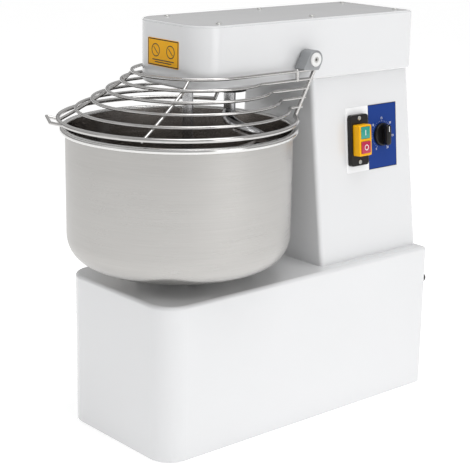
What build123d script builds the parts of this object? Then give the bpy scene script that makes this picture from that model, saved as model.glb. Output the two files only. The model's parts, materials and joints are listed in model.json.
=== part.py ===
from build123d import *
from math import asin, atan, atan2, cos, degrees, pi, radians, sin, sqrt, tan
import os

# Spiral dough mixer for a small bakery.  A sheet-steel base carries a column and a cantilevered head.
# A worm gearmotor in the base turns one tall shaft.  A chain in the base turns the bowl and a chain
# in the head turns the spiral.  A wire guard hinged on the head covers the bowl.
#
# Frame: millimetres, +Z up, the bowl end faces -Y and the controls face +X.
# The origin is the centre of the whole machine's footprint box, on the floor.

os.makedirs("parts", exist_ok=True)

# ---------------------------------------------------------------- driving dimensions
sheet = 2.5  # wall of the painted casings
running_fit = 0.05  # radial clearance of a shaft that turns in a bearing
sliding_fit = 0.4  # clearance of a button in its frame
seam = 0.3  # gap between neighbouring pieces that only lie close

base_width = 260.0
base_depth = 570.0
base_top = 249.0
base_gap = 1.5  # casing's lower edge above the floor
base_front_radius = 40.0
base_rear_radius = 6.0
base_edge_radius = 6.0

bowl_radius = 175.3
bowl_height = 210.5
bowl_sheet = 1.5
bowl_corner_radius = 46.0
bowl_setback = 126.5  # bowl axis behind the base's front face
bowl_lift = 26.5  # bowl's underside above the base
rim_bead_radius = 4.6
rim_bead_out = 3.6  # bead centre outside the bowl's wall

head_width = 168.0
head_length = 457.0
head_height = 96.5
head_bottom = 553.0
head_setback = 97.4  # head's front behind the base's front face
head_front_radius = 42.0
head_rear_radius = 6.0
head_lower_edge_radius = 5.0
head_cover_thickness = 2.5
head_cover_inset = 1.5
head_lip = 30.0  # inward flange that the cover is screwed to
head_lip_thickness = 3.0

column_foot_half_width = 108.0
column_top_half_width = 80.0
column_front_foot = 338.0  # column's front face at the base, behind the base's front
column_front_top = 329.0
column_rear_foot = 564.0  # column's rear face at the base
column_rear_top = 552.0
column_edge_radius = 7.0

spiral_offset = 101.0  # spiral axis behind the bowl axis
breaker_offset = 16.0  # breaker bar behind the bowl axis
drive_setback = 440.0  # tall shaft behind the base's front face

spiral_bar_radius = 9.5
spiral_reach = 65.0  # outer radius that the spiral sweeps
spiral_turns = 1.35
spiral_clearance = 9.0  # spiral above the bowl's floor
spiral_start_drop = 52.0  # spiral's first bend below the head
breaker_radius = 8.5
breaker_clearance = 26.0  # breaker bar's tip above the bowl's floor

guard_wire_radius = 2.5
guard_rim_wire_radius = 3.6
guard_end_wire_radius = 3.2
guard_side_reach = 97.0  # straight guard bars on each side of the head
guard_ring_radii = (183.0, 164.0, 145.0, 127.0, 110.0)
guard_ring_shifts = (-3.0, 7.0, 14.0, 20.0, 26.0)  # ring centres behind the bowl axis
guard_top_shift = 30.0
guard_ring_step = 14.0  # height from one ring to the next
guard_rim_gap = 16.7  # lowest ring above the bowl's bead
guard_bend_radius = 12.0
guard_spoke_angle = 35.0  # spokes to each side of the front
guard_handle_reach = 17.0
guard_handle_angle = 18.0

hinge_setback = 308.5  # hinge axis behind the base's front face
hinge_height = 589.5
hinge_pin_radius = 5.0
lever_boss_radius = 14.5
lever_outer_reach = 12.0  # lever outside the straight guard bars
lever_gap = 1.5  # lever boss beside the head

chain_pitch = 12.7
chain_roller_radius = 3.97
chain_plate_half_height = 5.0
chain_plate = 1.4
sprocket_thickness = 5.8
upper_drive_teeth = 16
spiral_teeth = 18
lower_drive_teeth = 11
bowl_teeth = 48
upper_chain_z = 611.0
lower_chain_z = 38.0

tall_shaft_radius = 12.5
spindle_radius = 15.0
small_bearing_radius = 26.0  # outer radius of the 25 mm bearings
small_bearing_width = 15.0
large_bearing_radius = 31.0  # outer radius of the 30 mm bearings
large_bearing_width = 16.0
bearing_race = 3.0
bearing_shield_depth = 0.8

deck_top = 75.0
deck_thickness = 5.0
foot_radius = 20.0
foot_height = 10.0
leg_thickness = 4.0
leg_half_width = 116.0
leg_front = 72.0  # legs' front end behind the base's front face
leg_rear_gap = 18.0

gearbox_height = 120.0
gearbox_wall = 8.0
worm_offset = 60.0  # worm axis beside the tall shaft
worm_core_radius = 12.0
worm_wheel_radius = 46.0
worm_wheel_width = 22.0
worm_ratio_teeth = 24
motor_radius = 57.0
motor_length = 148.0
rotor_radius = 30.0

panel_width = 119.0
panel_height = 107.0
panel_setback = 460.5  # centre of the control panel behind the base's front face
panel_center_z = 446.5
panel_thickness = 0.8
switch_box_width = 40.0
switch_box_height = 84.0
switch_box_depth = 9.0
housing_width = 29.0
housing_height = 51.0
housing_depth = 14.0
button_width = 20.5
button_height = 19.5
button_pitch = 24.0
button_travel = 3.0
knob_radius = 19.5
knob_height = 17.0

gland_reach = 14.0
gland_radius = 9.0
gland_side = 112.0
gland_height = 187.0

# ---------------------------------------------------------------- places worked out from them
guard_front_reach = guard_ring_radii[0] - guard_ring_shifts[0] + guard_rim_wire_radius
rear_reach = base_depth - bowl_setback + gland_reach
bowl_y = (guard_front_reach - rear_reach) / 2
base_front = bowl_y - bowl_setback
base_rear = base_front + base_depth
base_middle = (base_front + base_rear) / 2
spiral_y = bowl_y + spiral_offset
breaker_y = bowl_y + breaker_offset
drive_y = base_front + drive_setback
head_front = base_front + head_setback
head_rear = head_front + head_length
head_middle = (head_front + head_rear) / 2
head_top = head_bottom + head_height
head_shell_top = head_top - head_cover_thickness
column_foot_front = base_front + column_front_foot
column_top_front = base_front + column_front_top
column_foot_back = base_front + column_rear_foot
column_top_back = base_front + column_rear_top
hinge_y = base_front + hinge_setback
bowl_bottom = base_top + bowl_lift
rim_z = bowl_bottom + bowl_height
deck_bottom = deck_top - deck_thickness
arm_bottom = head_bottom + sheet
arm_thickness = 6.5
arm_top = arm_bottom + arm_thickness
column_lean = atan((column_foot_half_width - column_top_half_width) / (head_bottom - base_top))
panel_x = column_foot_half_width - (panel_center_z - base_top) * tan(column_lean)
panel_y = base_front + panel_setback
panel_plane = Plane(
    origin=(panel_x, panel_y, panel_center_z),
    x_dir=(0, 1, 0),
    z_dir=(cos(column_lean), 0, sin(column_lean)),
)


def pitch_radius(teeth):
    """Pitch radius of a chain sprocket."""
    return chain_pitch / (2 * sin(pi / teeth))


def sprocket(teeth, bore, hub_radius, x, y, z, hub_up):
    """Roller-chain sprocket with a hub, centred on the chain's plane at height z."""
    with BuildPart() as piece:
        with BuildSketch(Plane.XY.offset(z - sprocket_thickness / 2)):
            with Locations((x, y)):
                Circle(pitch_radius(teeth) + 3.0)
                with PolarLocations(pitch_radius(teeth), teeth):
                    Circle(chain_roller_radius + 0.15, mode=Mode.SUBTRACT)
        extrude(amount=sprocket_thickness)
        hub_low = z if hub_up else z - sprocket_thickness / 2 - 14
        with BuildSketch(Plane.XY.offset(hub_low)):
            with Locations((x, y)):
                Circle(hub_radius)
        extrude(amount=sprocket_thickness / 2 + 14)
        with BuildSketch(Plane.XY.offset(z - 30)):
            with Locations((x, y)):
                Circle(bore)
        extrude(amount=60, mode=Mode.SUBTRACT)
    return piece


def chain(y_a, teeth_a, y_b, teeth_b, z):
    """Chain round two sprockets: two side-plate loops, joined by rollers along the free runs."""
    r_a, r_b = pitch_radius(teeth_a), pitch_radius(teeth_b)
    plate_low = sprocket_thickness / 2 + 0.9
    with BuildPart() as piece:
        for low in (z + plate_low, z - plate_low - chain_plate):
            with BuildSketch(Plane.XY.offset(low)):
                with Locations((0, y_a)):
                    Circle(r_a + chain_plate_half_height)
                with Locations((0, y_b)):
                    Circle(r_b + chain_plate_half_height)
                make_hull()
            extrude(amount=chain_plate)
        with BuildSketch(Plane.XY.offset(z - 2 * plate_low)):
            with Locations((0, y_a)):
                Circle(r_a - chain_plate_half_height)
            with Locations((0, y_b)):
                Circle(r_b - chain_plate_half_height)
            make_hull()
        extrude(amount=4 * plate_low, mode=Mode.SUBTRACT)
        distance = y_b - y_a
        slope = asin((r_a - r_b) / abs(distance))
        run = abs(distance) * cos(slope)
        free_a = sqrt(16 * r_a + 64)
        free_b = sqrt(16 * r_b + 64)
        count = int((run - free_a - free_b) / chain_pitch)
        first = free_a + (run - free_a - free_b - count * chain_pitch) / 2
        heading = 1 if distance > 0 else -1
        spots = []
        for side in (-1, 1):
            for i in range(count + 1):
                along = first + i * chain_pitch
                x = side * (r_a * cos(slope) - along * sin(slope))
                y = y_a + heading * (r_a * sin(slope) + along * cos(slope))
                spots.append((x, y))
        with BuildSketch(Plane.XY.offset(z - plate_low - chain_plate)):
            with Locations(*spots):
                Circle(chain_roller_radius)
        extrude(amount=2 * plate_low + 2 * chain_plate)
    return piece


def bearings(bore, outer, width, seats):
    """Sealed ball bearings on upright axes; each seat is the place of a bearing's lower face."""
    with BuildPart() as piece:
        for x, y, low in seats:
            with BuildSketch(Plane.XY.offset(low)):
                with Locations((x, y)):
                    Circle(outer)
                    Circle(bore, mode=Mode.SUBTRACT)
            extrude(amount=width)
            for face in (low, low + width - bearing_shield_depth):
                with BuildSketch(Plane.XY.offset(face)):
                    with Locations((x, y)):
                        Circle(outer - bearing_race)
                        Circle(bore + bearing_race, mode=Mode.SUBTRACT)
                extrude(amount=bearing_shield_depth, mode=Mode.SUBTRACT)
    return piece


def screws(plane, spots, head_radius, head_height, shank_radius, shank_length):
    """Cross-head screws whose heads stand on the plane and whose shanks go through it."""
    outward = Axis(plane.origin, plane.z_dir)
    slot_length = head_radius * 1.2
    slot_width = head_radius * 0.3
    with BuildPart() as piece:
        with BuildSketch(plane):
            with Locations(*spots):
                Circle(head_radius)
        extrude(amount=head_height)
        chamfer(piece.edges().group_by(outward)[-1], length=head_height * 0.3)
        with BuildSketch(plane.offset(head_height)):
            with Locations(*spots):
                Rectangle(slot_length, slot_width)
                Rectangle(slot_width, slot_length)
        extrude(amount=-head_height * 0.5, mode=Mode.SUBTRACT)
        with BuildSketch(plane):
            with Locations(*spots):
                Circle(shank_radius)
        extrude(amount=-shank_length)
    return piece


def post(x, y, low, high, radius, bore=0.0):
    """Upright round post or sleeve between two heights."""
    with BuildPart() as piece:
        with BuildSketch(Plane.XY.offset(low)):
            with Locations((x, y)):
                Circle(radius)
                if bore:
                    Circle(bore, mode=Mode.SUBTRACT)
        extrude(amount=high - low)
    return piece


# ---------------------------------------------------------------- base casing
panel_opening_width = 176.0
panel_opening_height = 190.0
panel_opening_center_z = 122.0
rear_panel_thickness = 1.5
rear_panel_lap = 8.0
rear_panel_plane = Plane(origin=(0, base_rear, panel_opening_center_z), x_dir=(-1, 0, 0), z_dir=(0, 1, 0))
panel_screw_spots = [
    (side * (panel_opening_width / 2 + rear_panel_lap / 2), row * (panel_opening_height / 2 - 15))
    for side in (-1, 1)
    for row in (-1, 0, 1)
]
gland_plane = Plane(origin=(gland_side, base_rear, gland_height), x_dir=(-1, 0, 0), z_dir=(0, 1, 0))
small_screw_radius = 1.9
screw_head_radius = 3.6
screw_head_height = 2.0
screw_hole_radius = small_screw_radius + 0.1
housing_radius = 38.0
mast_half_width = 46.0
mast_front = base_front + 358.0
mast_rear = base_front + 520.0

with BuildPart() as base_shell:
    with BuildSketch(Plane.XY.offset(base_gap)):
        with Locations((0, base_middle)):
            Rectangle(base_width, base_depth)
        fillet(vertices().group_by(Axis.Y)[0], base_front_radius)
        fillet(vertices().group_by(Axis.Y)[-1], base_rear_radius)
    extrude(amount=base_top - base_gap)
    fillet(base_shell.edges().group_by(Axis.Z)[-1], base_edge_radius)
    with BuildSketch(Plane.XY.offset(base_gap)):
        with Locations((0, base_middle)):
            Rectangle(base_width - 2 * sheet, base_depth - 2 * sheet)
        fillet(vertices().group_by(Axis.Y)[0], base_front_radius - sheet)
        fillet(vertices().group_by(Axis.Y)[-1], base_rear_radius - sheet)
    extrude(amount=base_top - base_gap - sheet, mode=Mode.SUBTRACT)
    with BuildSketch(Plane.XY.offset(base_top - 2 * sheet)):
        with Locations((0, bowl_y)):
            Circle(housing_radius + 4)
        with Locations((0, (mast_front + mast_rear) / 2)):
            Rectangle(2 * mast_half_width + 12, mast_rear - mast_front + 12)
    extrude(amount=4 * sheet, mode=Mode.SUBTRACT)
    with BuildSketch(rear_panel_plane):
        RectangleRounded(panel_opening_width, panel_opening_height, 6)
    extrude(amount=-4 * sheet, mode=Mode.SUBTRACT)
    with Locations(rear_panel_plane):
        with Locations(*panel_screw_spots):
            Hole(screw_hole_radius, depth=2 * sheet)
    with Locations(gland_plane):
        Hole(gland_radius - 3, depth=2 * sheet)
base_shell.part.label = "base_shell"
export_step(base_shell.part, "parts/base_shell.step")

# Rear panel with rows of vent slots.
vent_rows = 7
vent_columns = 3
vent_pitch = 13.0
with BuildPart() as base_rear_panel:
    with BuildSketch(rear_panel_plane):
        RectangleRounded(
            panel_opening_width + 2 * rear_panel_lap, panel_opening_height + 2 * rear_panel_lap, 8
        )
        with Locations((0, 30)):
            with GridLocations(46, vent_pitch, vent_columns, vent_rows):
                SlotOverall(36, 5, mode=Mode.SUBTRACT)
        with Locations(*panel_screw_spots):
            Circle(screw_hole_radius, mode=Mode.SUBTRACT)
    extrude(amount=rear_panel_thickness)
base_rear_panel.part.label = "base_rear_panel"
export_step(base_rear_panel.part, "parts/base_rear_panel.step")

# Gland for the mains lead: a hexagon outside, a domed nut, and a lock nut inside the casing.
with BuildPart() as cable_gland:
    with BuildSketch(gland_plane):
        RegularPolygon(gland_radius, 6, major_radius=False)
    extrude(amount=gland_reach * 0.4)
    with BuildSketch(gland_plane.offset(gland_reach * 0.4)):
        Circle(gland_radius - 1)
    extrude(amount=gland_reach * 0.6)
    fillet(cable_gland.edges().group_by(Axis.Y)[-1], 3)
    with BuildSketch(gland_plane):
        Circle(gland_radius - 3)
    extrude(amount=-sheet)
    with BuildSketch(gland_plane.offset(-sheet)):
        RegularPolygon(gland_radius, 6, major_radius=False)
    extrude(amount=-5)
    with Locations(gland_plane.offset(gland_reach)):
        Hole(3.6, depth=gland_reach + 2 * sheet + 10)
cable_gland.part.label = "cable_gland"
export_step(cable_gland.part, "parts/cable_gland.step")

# ---------------------------------------------------------------- chassis inside the base
leg_length = base_depth - leg_front - leg_rear_gap
leg_middle = base_front + leg_front + leg_length / 2
foot_x = leg_half_width - 16
foot_spots = [
    (side * foot_x, leg_middle + end * (leg_length / 2 - 30)) for side in (-1, 1) for end in (-1, 1)
]
foot_bolt_radius = 4.0
spindle_hole = spindle_radius + 4
with BuildPart() as chassis:
    with BuildSketch(Plane.XY.offset(deck_bottom)):
        with Locations((0, leg_middle)):
            Rectangle(2 * leg_half_width, leg_length)
        with Locations((0, bowl_y)):
            Circle(spindle_hole, mode=Mode.SUBTRACT)
        with Locations((0, drive_y)):
            Circle(tall_shaft_radius + 4, mode=Mode.SUBTRACT)
    extrude(amount=deck_thickness)
    for side in (-1, 1):
        with BuildSketch(Plane.XY.offset(foot_height)):
            with Locations((side * (leg_half_width - leg_thickness / 2), leg_middle)):
                Rectangle(leg_thickness, leg_length)
        extrude(amount=deck_top - foot_height)
        with BuildSketch(Plane.XY.offset(foot_height)):
            with Locations((side * foot_x, leg_middle)):
                Rectangle(32, leg_length)
        extrude(amount=leg_thickness)
    with BuildSketch(Plane.XY.offset(foot_height)):
        with Locations(*foot_spots):
            Circle(foot_bolt_radius)
    extrude(amount=leg_thickness, mode=Mode.SUBTRACT)
chassis.part.label = "chassis"
export_step(chassis.part, "parts/chassis.step")

with BuildPart() as rubber_feet:
    with BuildSketch(Plane.XY):
        with Locations(*foot_spots):
            Circle(foot_radius)
    extrude(amount=foot_height)
    chamfer(rubber_feet.edges().group_by(Axis.Z)[0], 1.5)
    with BuildSketch(Plane.XY.offset(4)):
        with Locations(*foot_spots):
            Circle(foot_bolt_radius)
    extrude(amount=foot_height, mode=Mode.SUBTRACT)
rubber_feet.part.label = "rubber_feet"
export_step(rubber_feet.part, "parts/rubber_feet.step")

foot_bolts = screws(
    Plane.XY.offset(foot_height + leg_thickness), foot_spots, 6.5, 5.0, foot_bolt_radius, leg_thickness + 5
)
foot_bolts.part.label = "foot_bolts"
export_step(foot_bolts.part, "parts/foot_bolts.step")

# ---------------------------------------------------------------- mast and head arm
mast_plate = 5.0
saddle_thickness = 8.0
saddle_top = base_top - sheet
saddle_bottom = saddle_top - saddle_thickness
saddle_half_width = 120.0
saddle_front = base_front + 395.0
saddle_rear = base_front + 552.0
post_size = 16.0
post_spots = [
    (side * (saddle_half_width - post_size / 2 - 2), y)
    for side in (-1, 1)
    for y in (saddle_front + post_size / 2 + 2, saddle_rear - post_size / 2 - 2)
]
with BuildPart() as mast_frame:
    with BuildSketch(Plane.XY.offset(deck_top)):
        with Locations(*post_spots):
            Rectangle(post_size, post_size)
    extrude(amount=saddle_bottom - deck_top)
    with BuildSketch(Plane.XY.offset(saddle_bottom)):
        with Locations((0, (mast_front + saddle_rear) / 2)):
            Rectangle(2 * saddle_half_width, saddle_rear - mast_front)
        with Locations((0, drive_y)):
            Circle(tall_shaft_radius + 6, mode=Mode.SUBTRACT)
    extrude(amount=saddle_thickness)
    with BuildSketch(Plane.XY.offset(saddle_top)):
        with Locations((0, (mast_front + mast_rear) / 2)):
            Rectangle(2 * mast_half_width, mast_rear - mast_front)
        with Locations((0, (mast_front + mast_plate + mast_rear) / 2)):
            Rectangle(
                2 * (mast_half_width - mast_plate), mast_rear - mast_front - mast_plate, mode=Mode.SUBTRACT
            )
    extrude(amount=arm_bottom - saddle_top)
mast_frame.part.label = "mast_frame"
export_step(mast_frame.part, "parts/mast_frame.step")

arm_half_width = 55.0
arm_front = breaker_y - 24
arm_rear = base_front + 535.0
arm_middle = (arm_front + arm_rear) / 2
arm_flange = 24.0
spiral_housing_radius = 31.0
stud_radius = 6.0
with BuildPart() as head_arm:
    with BuildSketch(Plane.XY.offset(arm_bottom)):
        with Locations((0, arm_middle)):
            Rectangle(2 * arm_half_width, arm_rear - arm_front)
        with Locations((0, drive_y)):
            Circle(tall_shaft_radius + 3, mode=Mode.SUBTRACT)
        with Locations((0, spiral_y)):
            Circle(spiral_housing_radius, mode=Mode.SUBTRACT)
        with Locations((0, breaker_y)):
            Circle(stud_radius, mode=Mode.SUBTRACT)
    extrude(amount=arm_thickness)
    with BuildSketch(Plane.XY.offset(arm_top)):
        with Locations((0, arm_middle)):
            with GridLocations(2 * arm_half_width - mast_plate, 1, 2, 1):
                Rectangle(mast_plate, arm_rear - arm_front)
    extrude(amount=arm_flange)
head_arm.part.label = "head_arm"
export_step(head_arm.part, "parts/head_arm.step")

# ---------------------------------------------------------------- column casing
column_middle_foot = (column_foot_front + column_foot_back) / 2
column_middle_top = (column_top_front + column_top_back) / 2
column_foot_depth = column_foot_back - column_foot_front
column_top_depth = column_top_back - column_top_front
column_cover_width = 104.0
column_cover_height = 236.0
column_cover_lap = 8.0
column_cover_z = 402.0
column_rear_lean = atan((column_foot_back - column_top_back) / (head_bottom - base_top))
column_cover_plane = Plane(
    origin=(0, column_foot_back - (column_cover_z - base_top) * tan(column_rear_lean), column_cover_z),
    x_dir=(-1, 0, 0),
    z_dir=(0, cos(column_rear_lean), sin(column_rear_lean)),
)
column_screw_spots = [
    (side * (column_cover_width / 2 + column_cover_lap / 2), row * (column_cover_height / 2 - 12))
    for side in (-1, 1)
    for row in (-1, 1)
]
switch_x = -36.0
switch_screw_spots = [(switch_x, -switch_box_height / 2 + 6), (switch_x, switch_box_height / 2 - 6)]
switch_hole_width = 34.0
switch_hole_height = 60.0
knob_x = 24.5
knob_z = 2.3
timer_shaft_radius = 3.0
with BuildPart() as column_shell:
    with BuildSketch(Plane.XY.offset(base_top)):
        with Locations((0, column_middle_foot)):
            Rectangle(2 * column_foot_half_width, column_foot_depth)
    with BuildSketch(Plane.XY.offset(head_bottom)):
        with Locations((0, column_middle_top)):
            Rectangle(2 * column_top_half_width, column_top_depth)
    loft(ruled=True)
    fillet(
        column_shell.edges().filter_by(lambda edge: edge.bounding_box().size.Z > sheet), column_edge_radius
    )
    with BuildSketch(Plane.XY.offset(base_top)):
        with Locations((0, column_middle_foot)):
            Rectangle(2 * (column_foot_half_width - sheet), column_foot_depth - 2 * sheet)
    with BuildSketch(Plane.XY.offset(head_bottom)):
        with Locations((0, column_middle_top)):
            Rectangle(2 * (column_top_half_width - sheet), column_top_depth - 2 * sheet)
    loft(ruled=True, mode=Mode.SUBTRACT)
    with BuildSketch(column_cover_plane):
        RectangleRounded(column_cover_width, column_cover_height, 6)
    extrude(amount=-2 * sheet, mode=Mode.SUBTRACT)
    with Locations(column_cover_plane):
        with Locations(*column_screw_spots):
            Hole(screw_hole_radius, depth=2 * sheet)
    with BuildSketch(panel_plane):
        with Locations((switch_x, 0)):
            RectangleRounded(switch_hole_width, switch_hole_height, 2)
        with Locations((knob_x, knob_z)):
            Circle(timer_shaft_radius + 2)
        with Locations(*switch_screw_spots):
            Circle(screw_hole_radius)
    extrude(amount=-2 * sheet, mode=Mode.SUBTRACT)
column_shell.part.label = "column_shell"
export_step(column_shell.part, "parts/column_shell.step")

with BuildPart() as column_rear_cover:
    with BuildSketch(column_cover_plane):
        RectangleRounded(
            column_cover_width + 2 * column_cover_lap, column_cover_height + 2 * column_cover_lap, 8
        )
        with Locations(*column_screw_spots):
            Circle(screw_hole_radius, mode=Mode.SUBTRACT)
    extrude(amount=rear_panel_thickness)
column_rear_cover.part.label = "column_rear_cover"
export_step(column_rear_cover.part, "parts/column_rear_cover.step")

# ---------------------------------------------------------------- head casing
head_screw_spots = [
    (side * 62, head_middle + 16 + row * 192) for side in (-1, 1) for row in (-1, 0, 1)
]
bush_radius = 8.0
bush_flange = 1.0
head_label_plane = Plane(origin=(-3.5, head_front, 603), x_dir=(1, 0, 0), z_dir=(0, -1, 0))
with BuildPart() as head_shell:
    with BuildSketch(Plane.XY.offset(head_bottom)):
        with Locations((0, head_middle)):
            Rectangle(head_width, head_length)
        fillet(vertices().group_by(Axis.Y)[0], head_front_radius)
        fillet(vertices().group_by(Axis.Y)[-1], head_rear_radius)
    extrude(amount=head_shell_top - head_bottom)
    fillet(head_shell.edges().group_by(Axis.Z)[0], head_lower_edge_radius)
    with BuildSketch(Plane.XY.offset(arm_bottom)):
        with Locations((0, head_middle)):
            Rectangle(head_width - 2 * sheet, head_length - 2 * sheet)
        fillet(vertices().group_by(Axis.Y)[0], head_front_radius - sheet)
        fillet(vertices().group_by(Axis.Y)[-1], head_rear_radius - sheet)
    extrude(amount=head_shell_top - head_lip_thickness - arm_bottom, mode=Mode.SUBTRACT)
    with BuildSketch(Plane.XY.offset(arm_bottom)):
        with Locations((0, head_middle)):
            Rectangle(head_width - 2 * head_lip, head_length - 2 * head_lip)
        fillet(vertices().group_by(Axis.Y)[0], head_front_radius - head_lip)
    extrude(amount=head_height, mode=Mode.SUBTRACT)
    with BuildSketch(Plane.XY.offset(head_bottom)):
        with Locations((0, (mast_front + mast_rear) / 2)):
            Rectangle(2 * mast_half_width + 4, mast_rear - mast_front + 4)
        with Locations((0, spiral_y)):
            Circle(spiral_housing_radius + 1.5)
        with Locations((0, breaker_y)):
            Circle(breaker_radius + 0.8)
    extrude(amount=sheet, mode=Mode.SUBTRACT)
    with BuildSketch(Plane.XY.offset(head_shell_top)):
        with Locations(*head_screw_spots):
            Circle(screw_hole_radius)
    extrude(amount=-head_lip_thickness, mode=Mode.SUBTRACT)
    with BuildSketch(Plane.YZ.offset(-head_width / 2)):
        with Locations((hinge_y, hinge_height)):
            Circle(bush_radius)
    extrude(amount=head_width, mode=Mode.SUBTRACT)
head_shell.part.label = "head_shell"
export_step(head_shell.part, "parts/head_shell.step")

with BuildPart() as head_cover:
    with BuildSketch(Plane.XY.offset(head_shell_top)):
        with Locations((0, head_middle)):
            Rectangle(head_width - 2 * head_cover_inset, head_length - 2 * head_cover_inset)
        fillet(vertices().group_by(Axis.Y)[0], head_front_radius - head_cover_inset)
        fillet(vertices().group_by(Axis.Y)[-1], head_rear_radius - head_cover_inset)
        with Locations(*head_screw_spots):
            Circle(screw_hole_radius, mode=Mode.SUBTRACT)
    extrude(amount=head_cover_thickness)
    fillet(head_cover.faces().sort_by(Axis.Z)[-1].outer_wire().edges(), 1.2)
head_cover.part.label = "head_cover"
export_step(head_cover.part, "parts/head_cover.step")

head_cover_screws = screws(Plane.XY.offset(head_top), head_screw_spots, 4.2, 2.0, small_screw_radius, 9)
head_cover_screws.part.label = "head_cover_screws"
export_step(head_cover_screws.part, "parts/head_cover_screws.step")

with BuildPart() as front_label:
    with BuildSketch(head_label_plane):
        RectangleRounded(75, 42, 2)
    extrude(amount=0.5)
front_label.part.label = "front_label"
export_step(front_label.part, "parts/front_label.step")

# ---------------------------------------------------------------- tall shaft and its sprockets
tall_shaft = post(0, drive_y, lower_chain_z - 16, upper_chain_z + 12, tall_shaft_radius)
tall_shaft.part.label = "tall_shaft"
export_step(tall_shaft.part, "parts/tall_shaft.step")

upper_drive_sprocket = sprocket(upper_drive_teeth, tall_shaft_radius, 20, 0, drive_y, upper_chain_z, False)
upper_drive_sprocket.part.label = "upper_drive_sprocket"
export_step(upper_drive_sprocket.part, "parts/upper_drive_sprocket.step")

lower_drive_sprocket = sprocket(lower_drive_teeth, tall_shaft_radius, 16, 0, drive_y, lower_chain_z, True)
lower_drive_sprocket.part.label = "lower_drive_sprocket"
export_step(lower_drive_sprocket.part, "parts/lower_drive_sprocket.step")

upper_chain = chain(drive_y, upper_drive_teeth, spiral_y, spiral_teeth, upper_chain_z)
upper_chain.part.label = "upper_chain"
export_step(upper_chain.part, "parts/upper_chain.step")

lower_chain = chain(drive_y, lower_drive_teeth, bowl_y, bowl_teeth, lower_chain_z)
lower_chain.part.label = "lower_chain"
export_step(lower_chain.part, "parts/lower_chain.step")

top_bearing_low = arm_top + 2
with BuildPart() as shaft_top_housing:
    with BuildSketch(Plane.XY.offset(arm_top)):
        with Locations((0, drive_y)):
            Circle(42)
    extrude(amount=6)
    with BuildSketch(Plane.XY.offset(arm_top)):
        with Locations((0, drive_y)):
            Circle(small_bearing_radius + 6)
    extrude(amount=small_bearing_width + 2)
    with BuildSketch(Plane.XY.offset(arm_top)):
        with Locations((0, drive_y)):
            Circle(tall_shaft_radius + 3)
    extrude(amount=2, mode=Mode.SUBTRACT)
    with BuildSketch(Plane.XY.offset(top_bearing_low)):
        with Locations((0, drive_y)):
            Circle(small_bearing_radius)
    extrude(amount=small_bearing_width + 2, mode=Mode.SUBTRACT)
shaft_top_housing.part.label = "shaft_top_housing"
export_step(shaft_top_housing.part, "parts/shaft_top_housing.step")

# ---------------------------------------------------------------- worm gearbox
gearbox_front = drive_y - 55.0
gearbox_rear = drive_y + 55.0
gearbox_left = -56.0
gearbox_right = worm_offset + 30
gearbox_middle_x = (gearbox_left + gearbox_right) / 2
gearbox_lid_low = deck_top + gearbox_height - gearbox_wall
worm_z = deck_top + gearbox_height / 2
lower_bearing_low = deck_top + gearbox_wall
upper_bearing_low = gearbox_lid_low - small_bearing_width
worm_bearing_radius = 20.0
worm_shaft_radius = 8.0
worm_front_plane = Plane(origin=(worm_offset, gearbox_front, worm_z), x_dir=(1, 0, 0), z_dir=(0, -1, 0))
worm_rear_plane = Plane(origin=(worm_offset, gearbox_rear, worm_z), x_dir=(-1, 0, 0), z_dir=(0, 1, 0))
with BuildPart() as gearbox_housing:
    with BuildSketch(Plane.XY.offset(deck_top)):
        with Locations((gearbox_middle_x, drive_y)):
            RectangleRounded(gearbox_right - gearbox_left, gearbox_rear - gearbox_front, 14)
    extrude(amount=gearbox_height - gearbox_wall)
    with BuildSketch(Plane.XY.offset(lower_bearing_low)):
        with Locations((gearbox_middle_x, drive_y)):
            RectangleRounded(
                gearbox_right - gearbox_left - 2 * gearbox_wall,
                gearbox_rear - gearbox_front - 2 * gearbox_wall,
                8,
            )
    extrude(amount=gearbox_height, mode=Mode.SUBTRACT)
    with BuildSketch(Plane.XY.offset(lower_bearing_low)):
        with Locations((0, drive_y)):
            Circle(small_bearing_radius + 6)
            Circle(small_bearing_radius, mode=Mode.SUBTRACT)
    extrude(amount=small_bearing_width)
    with BuildSketch(Plane.XY.offset(deck_top)):
        with Locations((0, drive_y)):
            Circle(tall_shaft_radius + 1.5)
    extrude(amount=gearbox_wall, mode=Mode.SUBTRACT)
    with Locations(worm_front_plane):
        Hole(worm_bearing_radius, depth=gearbox_wall)
    with Locations(worm_rear_plane):
        Hole(worm_bearing_radius, depth=gearbox_wall)
gearbox_housing.part.label = "gearbox_housing"
export_step(gearbox_housing.part, "parts/gearbox_housing.step")

with BuildPart() as gearbox_lid:
    with BuildSketch(Plane.XY.offset(gearbox_lid_low)):
        with Locations((gearbox_middle_x, drive_y)):
            RectangleRounded(gearbox_right - gearbox_left, gearbox_rear - gearbox_front, 14)
    extrude(amount=gearbox_wall)
    with BuildSketch(Plane.XY.offset(upper_bearing_low)):
        with Locations((0, drive_y)):
            Circle(small_bearing_radius + 6)
            Circle(small_bearing_radius, mode=Mode.SUBTRACT)
    extrude(amount=small_bearing_width)
    with BuildSketch(Plane.XY.offset(gearbox_lid_low)):
        with Locations((0, drive_y)):
            Circle(tall_shaft_radius + 1.5)
    extrude(amount=gearbox_wall, mode=Mode.SUBTRACT)
gearbox_lid.part.label = "gearbox_lid"
export_step(gearbox_lid.part, "parts/gearbox_lid.step")

with BuildPart() as worm_wheel:
    with BuildSketch(Plane.XY.offset(worm_z - worm_wheel_width / 2)):
        with Locations((0, drive_y)):
            Circle(worm_wheel_radius)
            Circle(tall_shaft_radius, mode=Mode.SUBTRACT)
            with PolarLocations(worm_wheel_radius + 0.5, worm_ratio_teeth):
                Circle(3.2, mode=Mode.SUBTRACT)
    extrude(amount=worm_wheel_width)
worm_wheel.part.label = "worm_wheel"
export_step(worm_wheel.part, "parts/worm_wheel.step")

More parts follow.
